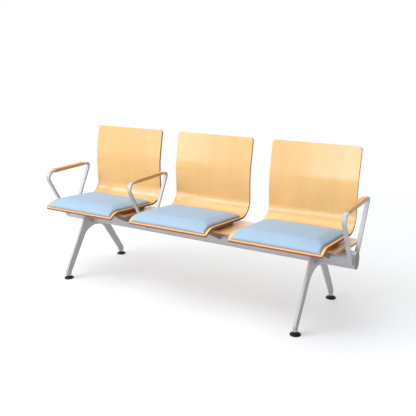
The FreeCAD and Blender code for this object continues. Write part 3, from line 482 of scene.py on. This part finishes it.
def nose_wood_with_painted_light(finish, place, wood):
    """The wood near the front edge: brown rim, painted highlight, painted pad shade. Each seat's noise is
    shifted, which is taken off first.
    """
    shifted = (finish.axes(place)[1] + NOSE_SPARE) / NOTE_SHIFT
    along = shifted.part() * NOTE_SHIFT - NOSE_SPARE
    # Painted shade under the pad's front, then a painted highlight on the round, then the real brown rim.
    under_pad_shade = finish.mix(along.between(*NOSE_PAINTED_SHADE_FADE), NOSE_PAINTED_SHADE, wood)
    pale = finish.mix(along.between(*NOSE_PAINTED_HIGHLIGHT_END), NOSE_PAINTED_HIGHLIGHT, under_pad_shade)
    return finish.mix(along.between(*NOSE_RIM_END), NOSE_BROWN, pale)


print("sanded edge ends after", NOSE_PAINTED_SHADE_FADE[1] * 1000, "mm")

# %% [markdown]
# ## Lacquered plywood
#
# Clear lacquer is a second, harder mirror over the wood. The shader's coat layer does that, on the faces
# only, because a cut edge drinks the lacquer and stays dull. The grain follows the moulded sheet, not the
# room's axes, so each point of the sheet carries three numbers: how far it lies across, along and through
# the sheet. The depth tells the faces from the edges.

# %% Plywood
LACQUER = 0.8
LACQUER_BLUR = 0.17
LACQUER_GLOSS = 1.7
FACE_BLEND = 0.0001
EDGE_ROUGH, FACE_SMOOTHER, FIBRE_ROUGH = 0.72, 0.34, 0.06
WOOD_SHINE = 0.3
SHEET_NOTE = "sheet_place"
SHELL_HALF = 0.0055


def plywood(name, half_thickness, place_of, face_paints, edge_paints, nose=False):
    """A lacquered sheet: beech on both faces and plies on the edges between them."""
    finish = Finish(name, Specular_IOR_Level=WOOD_SHINE, Coat_Roughness=LACQUER_BLUR,
                    Coat_IOR=LACQUER_GLOSS)
    place = place_of(finish)
    depth = finish.axes(place)[2]
    skin = half_thickness - VENEER
    face = abs(depth).between(skin - FACE_BLEND, skin + FACE_BLEND)
    wood, fibres = beech(finish, place, *face_paints)
    if nose:
        # The seats' front edge gets its brown rim, a painted highlight and painted shade.
        wood = nose_wood_with_painted_light(finish, place, wood)
    edge = ply_edge(finish, place, depth + half_thickness, *edge_paints)
    finish.feed(Base_Color=finish.mix(face, edge, wood), Coat_Weight=LACQUER * face,
                Roughness=EDGE_ROUGH - FACE_SMOOTHER * face + FIBRE_ROUGH * fibres)
    finish.relief(fibres, GRAIN_DEPTH, GRAIN_STRENGTH)


def noted_place(finish):
    """The three numbers that each point of a moulded sheet carries."""
    return finish.node("ShaderNodeAttribute", {"attribute_name": SHEET_NOTE}, (), "Vector")


plywood("shell_veneer", SHELL_HALF, noted_place, (WOOD_LIGHT, WOOD_DEEP), (PLY_RED, PLY_BROWN),
        nose=True)
print("shell veneer:", len(FINISHES["shell_veneer"].node_tree.nodes), "nodes")

# %% [markdown]
# ## The moulded seat
#
# One sheet makes the seat and the back: a rounded front lip, a seat that slopes back a little, a tight
# bend, and a back that leans away in a long arc. It is easiest to draw as a walk. Each stretch says how
# long it is and how far it turns, and from that any point of the sheet follows from three numbers:
# across, along and through. The same walk then carries the pads, so they always lie on the wood.

# %% The walk along the middle of the sheet
SEAT_SLOPE = radians(5.0)
LIP_RADIUS, LIP_TURN = 0.085, radians(48.6)
SEAT_LENGTH = 0.285
BEND_RADIUS, BEND_TURN = 0.080, radians(96.0)
LUMBAR_LENGTH = 0.085
BACK_RADIUS, BACK_TURN = 0.450, radians(12.5)
SEAT_ORIGIN = (0.0, 0.394)
SEAT_FRONT = 0.178
LIP = LIP_RADIUS * LIP_TURN
STRETCHES = ((LIP, -LIP_TURN), (SEAT_LENGTH, 0.0), (BEND_RADIUS * BEND_TURN, BEND_TURN),
             (LUMBAR_LENGTH, 0.0), (BACK_RADIUS * BACK_TURN, -BACK_TURN))


def walk_start():
    """The lip's lower end and the direction of the sheet there."""
    y = SEAT_ORIGIN[0] - SEAT_FRONT * cos(SEAT_SLOPE) - LIP_RADIUS * sin(SEAT_SLOPE)
    z = SEAT_ORIGIN[1] + SEAT_FRONT * sin(SEAT_SLOPE) - LIP_RADIUS * cos(SEAT_SLOPE)
    heading = LIP_TURN - SEAT_SLOPE
    return y - LIP_RADIUS * sin(heading), z + LIP_RADIUS * cos(heading), heading


def step(y, z, heading, length, turn):
    """Go on by length, turning evenly by turn."""
    if not turn:
        return y + length * cos(heading), z + length * sin(heading), heading
    radius = length / turn
    after = heading + turn
    return y + radius * (sin(after) - sin(heading)), z - radius * (cos(after) - cos(heading)), after


def walk(distance):
    """The sheet's middle line after so many metres from the front: y, z and heading."""
    y, z, heading = walk_start()
    for length, turn in STRETCHES:
        part = min(distance, length)
        y, z, heading = step(y, z, heading, part, turn * part / length)
        distance -= part
        if distance <= 0.0:
            return y, z, heading
    return step(y, z, heading, distance, 0.0)


print("the walk starts at", [round(value, 4) for value in walk_start()])

# %% The sheet's length, and any point of it
TOP_LEVEL = 0.780
TOP_START = sum(length for length, turn in STRETCHES)
_, top_z, top_heading = walk(TOP_START)
TOP_RUN = (TOP_LEVEL - SHELL_HALF * cos(top_heading) - top_z) / sin(top_heading)
SHELL_LENGTH = TOP_START + TOP_RUN


def on_sheet(across, along, through):
    """A point of the sheet in the room."""
    y, z, heading = walk(along)
    return Vector((across, y - through * sin(heading), z + through * cos(heading)))


def walk_stations(straight_step, bend_step):
    """Distances along the walk, closer together where the sheet bends."""
    places, here = [], 0.0
    for length, turn in STRETCHES + ((TOP_RUN, 0.0),):
        count = max(1, round(length / (bend_step if turn else straight_step)))
        places += [here + length * k / count for k in range(count)]
        here += length
    return places


print("sheet length:", round(SHELL_LENGTH * 1000, 1), "mm")

# %% [markdown]
# ## Boards as closed meshes
#
# A board has two faces and a rim that turns from one to the other. It could be a flat sheet that a
# modifier thickens, but then its corners can't be eased and the rim has no rows of its own. Here both
# faces are grids with the same rows, and rings of points go round the rim from the top to the bottom.
# The pads and the weld beads use the same helpers.

# %% Helpers for every mesh
def fill_grid(form, grid):
    """Faces between the rows of a grid of points."""
    for near, far in zip(grid, grid[1:]):
        for k in range(len(near) - 1):
            form.faces.new((near[k], near[k + 1], far[k + 1], far[k]))


def bridge(form, loops):
    """Faces between each closed loop of points and the next."""
    for upper, lower in zip(loops, loops[1:]):
        for k in range(len(upper)):
            after = (k + 1) % len(upper)
            form.faces.new((upper[k], upper[after], lower[after], lower[k]))


def finished_mesh(name, form):
    """The mesh itself, with its faces turned outward and shaded smooth."""
    bmesh.ops.recalc_face_normals(form, faces=form.faces)
    for face in form.faces:
        face.smooth = True
    mesh = bpy.data.meshes.new(name)
    form.to_mesh(mesh)
    form.free()
    return mesh


def piece(name, mesh, slot):
    """A piece of the object that rides on the bench, with the finish of its slot."""
    made = bpy.data.objects.new(name, mesh)
    bpy.context.scene.collection.objects.link(made)
    made.data.materials.clear()
    made.data.materials.append(FINISHES[slot])
    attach(made, "bench")
    return made


print("mesh helpers ready")

# %% Rows and rings of a board
CORNER_STEPS = 8
CORNER_SPARE = 1.1
RING_STEPS = 3
EASED = 0.0008


def board_rows(half_width, start, end, corner_start, corner_end, places):
    """Rows of a rounded rectangle: distance along, half width, and the way the outline faces there."""
    angles = [pi / 2.0 * k / CORNER_STEPS for k in range(CORNER_STEPS + 1)]
    rows = [(start + corner_start * (1.0 - cos(a)), half_width - corner_start * (1.0 - sin(a)),
             (sin(a), -cos(a))) for a in angles]
    rows += [(place, half_width, (1.0, 0.0)) for place in places
             if start + corner_start * CORNER_SPARE < place < end - corner_end * CORNER_SPARE]
    rows += [(end - corner_end * (1.0 - cos(a)), half_width - corner_end * (1.0 - sin(a)),
              (sin(a), cos(a))) for a in reversed(angles)]
    return rows


def eased_rings(half_thickness, radius):
    """The edge of a board whose corners are eased: how far out and how high, from top to bottom."""
    angles = [pi / 2.0 * k / RING_STEPS for k in range(RING_STEPS + 1)]
    upper = [(radius * sin(a), half_thickness - radius * (1.0 - cos(a))) for a in angles]
    return upper + [(out, -through) for out, through in reversed(upper)]


print("rings round an eased edge:", len(eased_rings(SHELL_HALF, EASED)))

# %% A board as a mesh
SLANT_REACH = 4.0


def board_mesh(name, rows, columns, rings, centre, note_shift, slant):
    """A closed sheet that follows the walk, with its front end cut on a slant."""
    form = bmesh.new()
    note = form.verts.layers.float_vector.new(SHEET_NOTE)
    last = len(rows) - 1

    def put(across, along, through):
        near_front = max(0.0, 1.0 - along / (SLANT_REACH * SHELL_HALF))
        reach = along - slant * near_front * (0.5 - through / (2.0 * SHELL_HALF))
        point = form.verts.new(on_sheet(across, reach, through) + Vector((centre, 0.0, 0.0)))
        point[note] = (across + note_shift, along + note_shift, through)
        return point

    def share(i):
        return 2.0 * i / columns - 1.0

    def face_grid(through):
        return [[put(half * share(i), along, through) for i in range(columns + 1)]
                for along, half, _ in rows]

    outline = [(0, i, (0.0, -1.0)) for i in range(1, columns)]
    outline += [(j, columns, rows[j][2]) for j in range(last + 1)]
    outline += [(last, i, (0.0, 1.0)) for i in range(columns - 1, 0, -1)]
    outline += [(j, 0, (-rows[j][2][0], rows[j][2][1])) for j in range(last, -1, -1)]

    def rim(out, through):
        return [put(rows[j][1] * share(i) + to_side * out, rows[j][0] + to_end * out, through)
                for j, i, (to_side, to_end) in outline]

    top, bottom = (face_grid(rings[k][1]) for k in (0, -1))
    loops = [rim(out, through) for out, through in rings[1:-1]]
    for grid in (top, bottom):
        fill_grid(form, grid)
    bridge(form, [[top[j][i] for j, i, _ in outline], *loops, [bottom[j][i] for j, i, _ in outline]])
    return finished_mesh(name, form)


print("the slant ends", SLANT_REACH * SHELL_HALF * 1000, "mm from the front")

# %% [markdown]
# ## Three plywood seats
#
# The corners at the front are tight, because the pad covers the lip almost to its edge, and those at the
# top of the back are wider. All edges are eased by less than a millimetre, as a sanding block leaves
# them, and the front is cut on a slant, so that only a narrow brown line of the edge shows from the
# front. The three sheets could share one mesh, but each takes its own stretch of the wood noise.

# %% Three plywood seats
SEAT_PITCH = 0.560
SHELL_WIDTH = 0.451
FRONT_CORNER, TOP_CORNER = 0.010, 0.016
LIP_CUT = 0.0030
SHELL_COLUMNS = 16
STRAIGHT_STEP, BEND_STEP = 0.030, 0.0055

seat_centres = [-SEAT_PITCH, 0.0, SEAT_PITCH]
shell_rows = board_rows(SHELL_WIDTH / 2.0 - EASED, EASED, SHELL_LENGTH - EASED, FRONT_CORNER - EASED,
                        TOP_CORNER - EASED, walk_stations(STRAIGHT_STEP, BEND_STEP))
for i, centre in enumerate(seat_centres):
    name = "plywood_seat_%d" % (i + 1)
    mesh = board_mesh(name, shell_rows, SHELL_COLUMNS, eased_rings(SHELL_HALF, EASED), centre,
                      NOTE_SHIFT * (i + 1), LIP_CUT)
    seat = piece(name, mesh, "shell_veneer")
    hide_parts("seat_shell_%d" % (i + 1))
    shading = seat.modifiers.new("even_shading", "WEIGHTED_NORMAL")
    shading.keep_sharp = True
    print(name, "faces:", len(mesh.polygons))

# %% [markdown]
# ## Light blue vinyl
#
# The pads are covered in vinyl: soft coated cloth with a fine leather grain pressed into it. Real leather
# has creases and pores of many sizes. Pressed vinyl has small even cells, so cells from one Voronoi
# pattern do, with a finer noise in them. The colour drifts so little that only large areas show it.

# %% Vinyl
VINYL_BLUE = paint(170, 199, 222)
VINYL_GREY = paint(163, 192, 214)
VINYL_SHINE = 0.35
CLOUDS, CELLS, FINE = 14.0, 620.0, 2200.0
CELL_EDGE, CELL_RANGE = 0.16, (0.955, 1.01)
CELL_HEIGHT, FINE_HEIGHT = 0.8, 0.2
VINYL_ROUGH, FINE_ROUGH, CELL_SMOOTHER = 0.50, 0.10, 0.05
LEATHER_DEPTH, LEATHER_STRENGTH = 0.00006, 0.55


def vinyl(name, light, deep):
    """Soft coated cloth with a fine pressed leather grain."""
    finish = Finish(name, Specular_IOR_Level=VINYL_SHINE)
    place = finish.place()
    cells = finish.node("ShaderNodeTexVoronoi", {"feature": "DISTANCE_TO_EDGE"},
                        {"Vector": place, "Scale": CELLS})
    grain = cells.between(0.0, CELL_EDGE)
    fine = finish.noise(place, FINE, detail=1.0)
    colour = finish.mix(finish.noise(place, CLOUDS), light, deep)
    finish.feed(Base_Color=finish.shade(colour, grain, *CELL_RANGE),
                Roughness=VINYL_ROUGH + FINE_ROUGH * fine - CELL_SMOOTHER * grain)
    finish.relief(grain * CELL_HEIGHT + fine * FINE_HEIGHT, LEATHER_DEPTH, LEATHER_STRENGTH)


vinyl("pad_vinyl", VINYL_BLUE, VINYL_GREY)
print("vinyl:", len(FINISHES["pad_vinyl"].node_tree.nodes), "nodes")

# %% [markdown]
# ## The pads
#
# A pad is a thin curved board with foam on it and vinyl pulled over both. It is flat where it lies on the
# wood and crowned on top, its corners are sharp in plan because the vinyl is folded there, and its sides
# pull in a little between them and tuck in under their fullest line. It could be a rounded box, but then
# it looks like soap.

# %% The pad before it is blown up
PAD_HALF_WIDTH = 0.2115
PAD_START = 0.0088
PAD_END = LIP + SEAT_LENGTH + 0.0090
PAD_MIDDLE, PAD_HALF_LENGTH = (PAD_START + PAD_END) / 2.0, (PAD_END - PAD_START) / 2.0
PAD_CELL = 0.0070
PAD_EDGE_CELL = 0.4
PAD_PULL = 0.0012
PAD_GAP = 0.0003
PAD_BASE = SHELL_HALF + PAD_GAP
PAD_TALL = 0.0180
PAD_CROWN, PAD_CROWN_POWER = 0.0045, 2.4
PAD_SQUARENESS = 12.0
PAD_BELLY = 0.0030
PAD_TUCK = 0.0025
WAIST_IN, WAIST_UP = 0.3, 0.45


def shares(length):
    """Places from -1 to 1 along one side of the pad, closer together near its ends."""
    count = round(length / PAD_CELL)
    even = [2.0 * k / count - 1.0 for k in range(count + 1)]
    return [PAD_EDGE_CELL * x + (1.0 - PAD_EDGE_CELL) * sin(pi / 2.0 * x) for x in even]


def top_level(x, y):
    """How high the top is: a crown, with a round shoulder that falls off at the pad's edges."""
    full = 1.0
    crown = PAD_CROWN
    for share in (x, y):
        full *= sqrt(max(0.0, 1.0 - abs(share) ** PAD_SQUARENESS))
        crown *= 1.0 - abs(share) ** PAD_CROWN_POWER
    return PAD_BASE + PAD_BELLY + (PAD_TALL - PAD_BELLY) * full + crown


def pad_mesh(name):
    """A closed cushion: a crowned top, a wall that tucks in under its fullest line, a flat underside."""
    form = bmesh.new()
    note = form.verts.layers.float_vector.new(SHEET_NOTE)
    columns, rows = shares(2.0 * PAD_HALF_WIDTH), shares(2.0 * PAD_HALF_LENGTH)

    def put(sideways, endways, inset, through):
        across = sideways * (PAD_HALF_WIDTH - inset - PAD_PULL * (1.0 - endways ** 2))
        along = PAD_MIDDLE + endways * (PAD_HALF_LENGTH - inset - PAD_PULL * (1.0 - sideways ** 2))
        point = form.verts.new(on_sheet(across, along, through))
        point[note] = (across, along, through)
        return point

    top = [[put(x, y, 0.0, top_level(x, y)) for x in columns] for y in rows]
    under = [[put(x, y, PAD_TUCK, PAD_BASE) for x in columns] for y in rows]
    for grid in (top, under):
        fill_grid(form, grid)
    m, n = len(rows) - 1, len(columns) - 1
    outline = [(0, i) for i in range(n)] + [(j, n) for j in range(m)]
    outline += [(m, i) for i in range(n, 0, -1)] + [(j, 0) for j in range(m, 0, -1)]
    waist_level = PAD_BASE + WAIST_UP * PAD_BELLY
    waist = [put(columns[i], rows[j], WAIST_IN * PAD_TUCK, waist_level) for j, i in outline]
    bridge(form, [[top[j][i] for j, i in outline], waist, [under[j][i] for j, i in outline]])
    return finished_mesh(name, form)


print("pad cells:", len(shares(2.0 * PAD_HALF_WIDTH)), "by", len(shares(2.0 * PAD_HALF_LENGTH)))

# %% [markdown]
# ## Foam under the vinyl
#
# Foam presses the vinyl outward until the vinyl's pull stops it. A smooth bulge could be drawn, but cloth
# that is blown up finds the true one, fuller in the middle of each face than at the folds. So the pad
# starts slightly thin and is run as cloth with air in it, with its underside and its fullest line held
# still and without gravity. Small folds are evened out afterwards, and no point may end further away
# than a few millimetres. One pad is blown up and the other two are copies of it.

# %% What holds still, and how folds are evened out
HELD_ABOVE = 0.0005
SWELL_ROUNDS = 12


def hold_rim(pad):
    """A group of the points on the wood and round the fullest line, where the vinyl is held."""
    held = pad.vertex_groups.new(name="rim")
    note = pad.data.attributes[SHEET_NOTE].data
    limit = PAD_BASE + PAD_BELLY + HELD_ABOVE
    low = [v.index for v in pad.data.vertices if note[v.index].vector[2] < limit]
    held.add(low, 1.0, "REPLACE")
    return held.name, set(low)


def evened(moves, mesh, fixed):
    """The moves without small folds: each one becomes the mean of its neighbours', again and again."""
    beside = [[] for _ in moves]
    for edge in mesh.edges:
        first, second = edge.vertices
        beside[first].append(second)
        beside[second].append(first)
    for _ in range(SWELL_ROUNDS):
        moves = [move if k in fixed
                 else (move + sum((moves[n] for n in beside[k]), Vector())) / (1 + len(beside[k]))
                 for k, move in enumerate(moves)]
    return moves


print("vinyl held below", round((PAD_BASE + PAD_BELLY + HELD_ABOVE) * 1000, 1), "mm")

# %% Blow the vinyl up
SWELL_FRAMES = 20
SWELL_PRESSURE = 4.0
SWELL_LIMIT = 0.0040
CLOTH_QUALITY = 6
CLOTH_STRETCH, CLOTH_BEND = 30.0, 8.0
TINY = 1e-9


def swell(pad):
    """Run the vinyl as cloth with air under it, keep what it gives, and cap how far a point may go."""
    before = [v.co.copy() for v in pad.data.vertices]
    cloth = pad.modifiers.new("swell", "CLOTH")
    cloth.settings.quality = CLOTH_QUALITY
    cloth.settings.tension_stiffness = CLOTH_STRETCH
    cloth.settings.compression_stiffness = CLOTH_STRETCH
    cloth.settings.bending_stiffness = CLOTH_BEND
    cloth.settings.use_pressure = True
    cloth.settings.uniform_pressure_force = SWELL_PRESSURE
    cloth.settings.effector_weights.gravity = 0.0
    cloth.settings.vertex_group_mass, fixed = hold_rim(pad)
    for frame_number in range(1, SWELL_FRAMES + 1):
        bpy.context.scene.frame_set(frame_number)
    shaped = pad.evaluated_get(bpy.context.evaluated_depsgraph_get()).data
    moves = evened([v.co - old for v, old in zip(shaped.vertices, before)], pad.data, fixed)
    pad.modifiers.remove(cloth)
    moves = [move * min(1.0, SWELL_LIMIT / max(move.length, TINY)) for move in moves]
    for vertex, old, move in zip(pad.data.vertices, before, moves):
        vertex.co = old + move
    bpy.context.scene.frame_set(1)
    return max(move.length for move in moves)


print("the cloth runs for", SWELL_FRAMES, "frames")

# %% Three pads
pads = []
for i in range(len(seat_centres)):
    name = "vinyl_pad_%d" % (i + 1)
    pads.append(piece(name, pads[0].data.copy() if pads else pad_mesh(name), "pad_vinyl"))
    if i == 0:
        print(name, "swelled by up to", round(swell(pads[0]) * 1000, 1), "mm")
for i, (pad, centre) in enumerate(zip(pads, seat_centres)):
    pad.data.transform(Matrix.Translation((centre, 0.0, 0.0)))
    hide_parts("seat_pad_%d" % (i + 1))
    smooth = pad.modifiers.new("smooth", "SUBSURF")
    smooth.levels = 1
    smooth.render_levels = 1
print("pads:", [pad.name for pad in pads])

# %% [markdown]
# ## Panels between the seats
#
# The flat panels that fill the gaps are thinner plywood with a paler, plainer face. They keep the meshes
# of their solids, whose points carry no numbers. They lie parallel to the seat, so across, along and
# through can be worked out in the shader from the point in the room and the seat's slope, and then the
# same plywood finish serves.

# %% Panels
PANEL_HALF = 0.0045
PANEL_MIDDLE = -0.027
PANEL_PAINTS = (paint(240, 203, 150), paint(230, 190, 134))
PANEL_PLY_PAINTS = (paint(228, 186, 130), paint(206, 160, 104))


def panel_place(finish):
    """Across, along and through a panel, from the point in the room."""
    point = finish.place()
    slope_up = (0.0, sin(SEAT_SLOPE), cos(SEAT_SLOPE))
    slope_along = (0.0, cos(SEAT_SLOPE), -sin(SEAT_SLOPE))
    depth = finish.along(point, slope_up) - (SEAT_ORIGIN[1] * cos(SEAT_SLOPE) + PANEL_MIDDLE)
    return finish.node("ShaderNodeCombineXYZ", None,
                       [finish.axes(point)[0], finish.along(point, slope_along), depth])


plywood("panel_veneer", PANEL_HALF, panel_place, PANEL_PAINTS, PANEL_PLY_PAINTS)
print("panel veneer:", len(FINISHES["panel_veneer"].node_tree.nodes), "nodes")

# %% [markdown]
# ## Arm grips and pad boards
#
# The grips on the arms are solid beech, so their grain runs from front to back right through, and their
# ends show open pores. A plywood edge would be wrong there, so the faces that look along the grain take a
# duller colour with small dots instead. The thin board inside each pad is raw ply that nobody sees until
# the pad is taken off, so it is plain wood without lacquer.

# %% Solid beech and raw board
END_FACING = (0.55, 0.85)
PORE_SIZES, PORE_RANGE = (900.0, 60.0, 900.0), (0.72, 1.0)
GRIP_ROUGH, END_ROUGHER, GRIP_FIBRE_ROUGH = 0.40, 0.15, 0.08
GRIP_LACQUER, GRIP_BLUR = 0.2, 0.25
RAW_ROUGH, RAW_FIBRE_ROUGH, RAW_DEPTH = 0.6, 0.1, 0.00004


def solid_beech(name, light, deep):
    """Lacquered solid beech with end grain on the faces across it."""
    finish = Finish(name, Specular_IOR_Level=WOOD_SHINE, Coat_Weight=GRIP_LACQUER,
                    Coat_Roughness=GRIP_BLUR)
    place = finish.place()
    wood, fibres = beech(finish, place, light, deep)
    end = abs(finish.axes(finish.facing())[1]).between(*END_FACING)
    ends = finish.shade(deep, finish.noise(place, PORE_SIZES), *PORE_RANGE)
    finish.feed(Base_Color=finish.mix(end, wood, ends),
                Roughness=GRIP_ROUGH + END_ROUGHER * end + GRIP_FIBRE_ROUGH * fibres)
    finish.relief(fibres, GRAIN_DEPTH, GRAIN_STRENGTH)


def raw_board(name, light, deep):
    """Plain unfinished ply."""
    finish = Finish(name)
    wood, fibres = beech(finish, finish.place(), light, deep)
    finish.feed(Base_Color=wood, Roughness=RAW_ROUGH + RAW_FIBRE_ROUGH * fibres)
    finish.relief(fibres, RAW_DEPTH, GRAIN_STRENGTH)


solid_beech("arm_wood", paint(231, 183, 115), paint(215, 162, 93))
raw_board("pad_board", paint(214, 178, 128), paint(196, 158, 108))
print("finishes so far:", ", ".join(FINISHES))

# %% [markdown]
# ## Painted metal
#
# Beam, arms and legs are powder coated in silver grey. Powder flows into a faintly dimpled skin, and the
# fine metal flakes in it mirror the room very softly, so its faces differ in brightness more than plain
# paint would let them. That is why it is mostly metal here, with a wide blur and a shallow bump a
# millimetre or two across. The beam has fewer flakes, and the brackets under the seats are darker.

# %% Powder coat
DIMPLES, PAINT_DRIFT, FLAKES = 650.0, 7.0, 5200.0
PAINT_DRIFT_RANGE, FLAKE_RANGE = (0.975, 1.025), (0.96, 1.04)
FLAKE_ROUGH = 0.10
DIMPLE_DEPTH, DIMPLE_STRENGTH = 0.00005, 0.45


def powder_coat(name, colour, metal=0.72, roughness=0.55):
    """Baked paint with a fine dimpled skin."""
    finish = Finish(name, Metallic=metal)
    place = finish.place()
    flakes = finish.noise(place, FLAKES, detail=0.0)
    shaded = finish.shade(colour, finish.noise(place, PAINT_DRIFT), *PAINT_DRIFT_RANGE)
    finish.feed(Base_Color=finish.shade(shaded, flakes, *FLAKE_RANGE),
                Roughness=roughness - FLAKE_ROUGH / 2.0 + FLAKE_ROUGH * flakes)
    finish.relief(finish.noise(place, DIMPLES, detail=1.0), DIMPLE_DEPTH, DIMPLE_STRENGTH)


powder_coat("leg_coat", paint(187, 188, 190))
powder_coat("arm_coat", paint(194, 195, 197))
powder_coat("beam_coat", paint(190, 189, 191), metal=0.45, roughness=0.48)
powder_coat("bracket_coat", paint(160, 153, 149), metal=0.2, roughness=0.5)
print("painted metal:", [name for name in FINISHES if name.endswith("coat")])

# %% [markdown]
# ## Weld beads
#
# The feet of the arms are welded to the beam. A bead could be left to a bump, but it stands out from the
# beam, so it is a small rippled tube that is laid round each foot, half sunk in the steel. It runs down
# one side of the foot, under it and up the other side, on the beam's front and on its rear face.

# %% The line of a bead
ARM_PLACES = (-0.840, -0.280, 0.840)
BEAM_HALF_WIDTH, BEAM_HALF_HEIGHT, BEAM_CENTRE = 0.0295, 0.0415, 0.3085
WELD_HALF = 0.0112
WELD_LOW, WELD_HIGH = 0.2922, 0.3035
WELD_BEND, WELD_BEND_STEPS = 0.0040, 9
WELD_STEP = 0.0007


def weld_path():
    """Points of a bead that runs down one side of a foot, under it and up the other side."""
    points = [(-WELD_HALF, WELD_HIGH)]
    for sideways, first in ((-1.0, pi), (1.0, 1.5 * pi)):
        centre = sideways * (WELD_HALF - WELD_BEND)
        for k in range(WELD_BEND_STEPS + 1):
            angle = first + pi / 2.0 * k / WELD_BEND_STEPS
            points.append((centre + WELD_BEND * cos(angle), WELD_LOW + WELD_BEND * (1.0 + sin(angle))))
    points.append((WELD_HALF, WELD_HIGH))
    points = [Vector((x, 0.0, z)) for x, z in points]
    even = []
    for point, after in zip(points, points[1:]):
        count = max(1, round((after - point).length / WELD_STEP))
        even += [point.lerp(after, k / count) for k in range(count)]
    return even + points[-1:]


print("points along a bead:", len(weld_path()))

# %% Beads round the feet of the arms
WELD_RADIUS = 0.0019
WELD_SIDES = 10
WELD_RIPPLE, RIPPLE_SHARE = 0.0026, 0.16
WELD_TAPER = 4.0


def bead_radius(k, last):
    """The bead's radius at one of its points: rippled, and rounded off at both ends."""
    end = min(1.0, (min(k, last - k) + 1.0) / WELD_TAPER)
    ripple = sin(2.0 * pi * k * WELD_STEP / WELD_RIPPLE)
    return WELD_RADIUS * sqrt(end) * (1.0 + RIPPLE_SHARE * ripple)


def weld_mesh(name, place):
    """The beads on the front and on the rear face of the beam, with the ripples of a hand-held torch."""
    form = bmesh.new()
    line = weld_path()
    last = len(line) - 1
    angles = [2.0 * pi * n / WELD_SIDES for n in range(WELD_SIDES)]
    for side in (-1.0, 1.0):
        outward = Vector((0.0, side, 0.0))
        rings = []
        for k, point in enumerate(line):
            ahead = (line[min(k + 1, last)] - line[max(k - 1, 0)]).normalized()
            across = ahead.cross(outward)
            drop = (point.z - BEAM_CENTRE) / BEAM_HALF_HEIGHT
            middle = point + Vector((place, side * BEAM_HALF_WIDTH * sqrt(1.0 - drop * drop), 0.0))
            radius = bead_radius(k, last)
            rings.append([form.verts.new(middle + (outward * cos(a) + across * sin(a)) * radius)
                          for a in angles])
        bridge(form, rings)
        form.faces.new(rings[0])
        form.faces.new(rings[-1])
    return finished_mesh(name, form)


for i, place in enumerate(ARM_PLACES):
    name = "arm_welds_%d" % (i + 1)
    beads = piece(name, weld_mesh(name, place), "arm_coat")
    print(name, "faces:", len(beads.data.polygons))

# %% [markdown]
# ## Plastic, plated steel and brass
#
# The beam's caps and the glides' feet are moulded plastic: even in colour, with the faint texture that a
# spark-eroded mould leaves. The screws, nuts and stems are plated steel and the inserts are turned brass.
# Plastic shows its colour under the shine, and metal shows it in the shine. One helper with a switch
# could do both, but two short ones say more clearly what each surface is.

# %% Plastic and bright metal
MOULD_TEXTURE, PLASTIC_DRIFT, PLASTIC_RANGE = 1800.0, 40.0, (0.94, 1.06)
MOULD_ROUGH, MOULD_DEPTH, MOULD_STRENGTH = 0.12, 0.00004, 0.4
TURNED_SIZES, POLISH_DRIFT, POLISH_RANGE = (300.0, 300.0, 2600.0), 90.0, (0.93, 1.05)
TURNED_ROUGH, TURNED_SMOOTHER = 0.14, 0.05
TURNED_DEPTH, TURNED_STRENGTH = 0.00002, 0.3


def moulded_plastic(name, colour, roughness, shine=0.45):
    """Plain moulded plastic with a faint spark-eroded texture."""
    finish = Finish(name, Specular_IOR_Level=shine)
    place = finish.place()
    texture = finish.noise(place, MOULD_TEXTURE)
    drift = finish.noise(place, PLASTIC_DRIFT, detail=1.0)
    finish.feed(Base_Color=finish.shade(colour, drift, *PLASTIC_RANGE),
                Roughness=roughness - MOULD_ROUGH / 2.0 + MOULD_ROUGH * texture)
    finish.relief(texture, MOULD_DEPTH, MOULD_STRENGTH)


def bright_metal(name, colour, roughness):
    """Plated or turned metal with fine uneven polish."""
    finish = Finish(name, Metallic=1.0)
    place = finish.place()
    turned = finish.noise(place, TURNED_SIZES)
    drift = finish.noise(place, POLISH_DRIFT, detail=1.0)
    finish.feed(Base_Color=finish.shade(colour, drift, *POLISH_RANGE),
                Roughness=roughness - TURNED_SMOOTHER + TURNED_ROUGH * turned)
    finish.relief(turned, TURNED_DEPTH, TURNED_STRENGTH)


moulded_plastic("cap_plastic", paint(145, 141, 134), roughness=0.5)
moulded_plastic("glide_plastic", paint(26, 25, 27), roughness=0.34, shine=0.25)
bright_metal("glide_steel", paint(178, 180, 182), roughness=0.32)
bright_metal("fastener_steel", paint(170, 172, 172), roughness=0.30)
bright_metal("insert_brass", paint(206, 176, 110), roughness=0.30)
print("all finishes:", len(FINISHES))

# %% [markdown]
# ## Give each solid its finish
#
# The solids arrive with plain grey materials. They could be dressed one by one, but their names say what
# they are, so a table of name beginnings is shorter and leaves none out. A longer beginning stands before
# a shorter one that it contains.

# %% Finishes by name
FINISH_OF = (
    ("arm_loop", "arm_coat"), ("arm_pad_screws", "fastener_steel"), ("arm_pad", "arm_wood"),
    ("beam_end_cap", "cap_plastic"), ("beam_rivet_nuts", "fastener_steel"), ("beam", "beam_coat"),
    ("bracket_bolts", "fastener_steel"), ("glide_foot", "glide_plastic"), ("glide_stem", "glide_steel"),
    ("infill_panel_screws", "fastener_steel"), ("infill_panel", "panel_veneer"),
    ("leg_lock_screws", "fastener_steel"), ("leg_tip_inserts", "insert_brass"),
    ("leg_tip_pins", "fastener_steel"), ("leg", "leg_coat"), ("seat_bracket", "bracket_coat"),
    ("seat_pad_board", "pad_board"), ("seat_pad_screws", "fastener_steel"), ("seat_pad", "pad_vinyl"),
    ("seat_shell_bolts", "fastener_steel"), ("seat_shell_nuts", "fastener_steel"),
    ("seat_shell", "shell_veneer"),
)
for name, node in nodes.items():
    slot = next(slot for start, slot in FINISH_OF if name.startswith(start))
    node.data.materials.clear()
    node.data.materials.append(FINISHES[slot])
print("finished solids:", len(nodes))
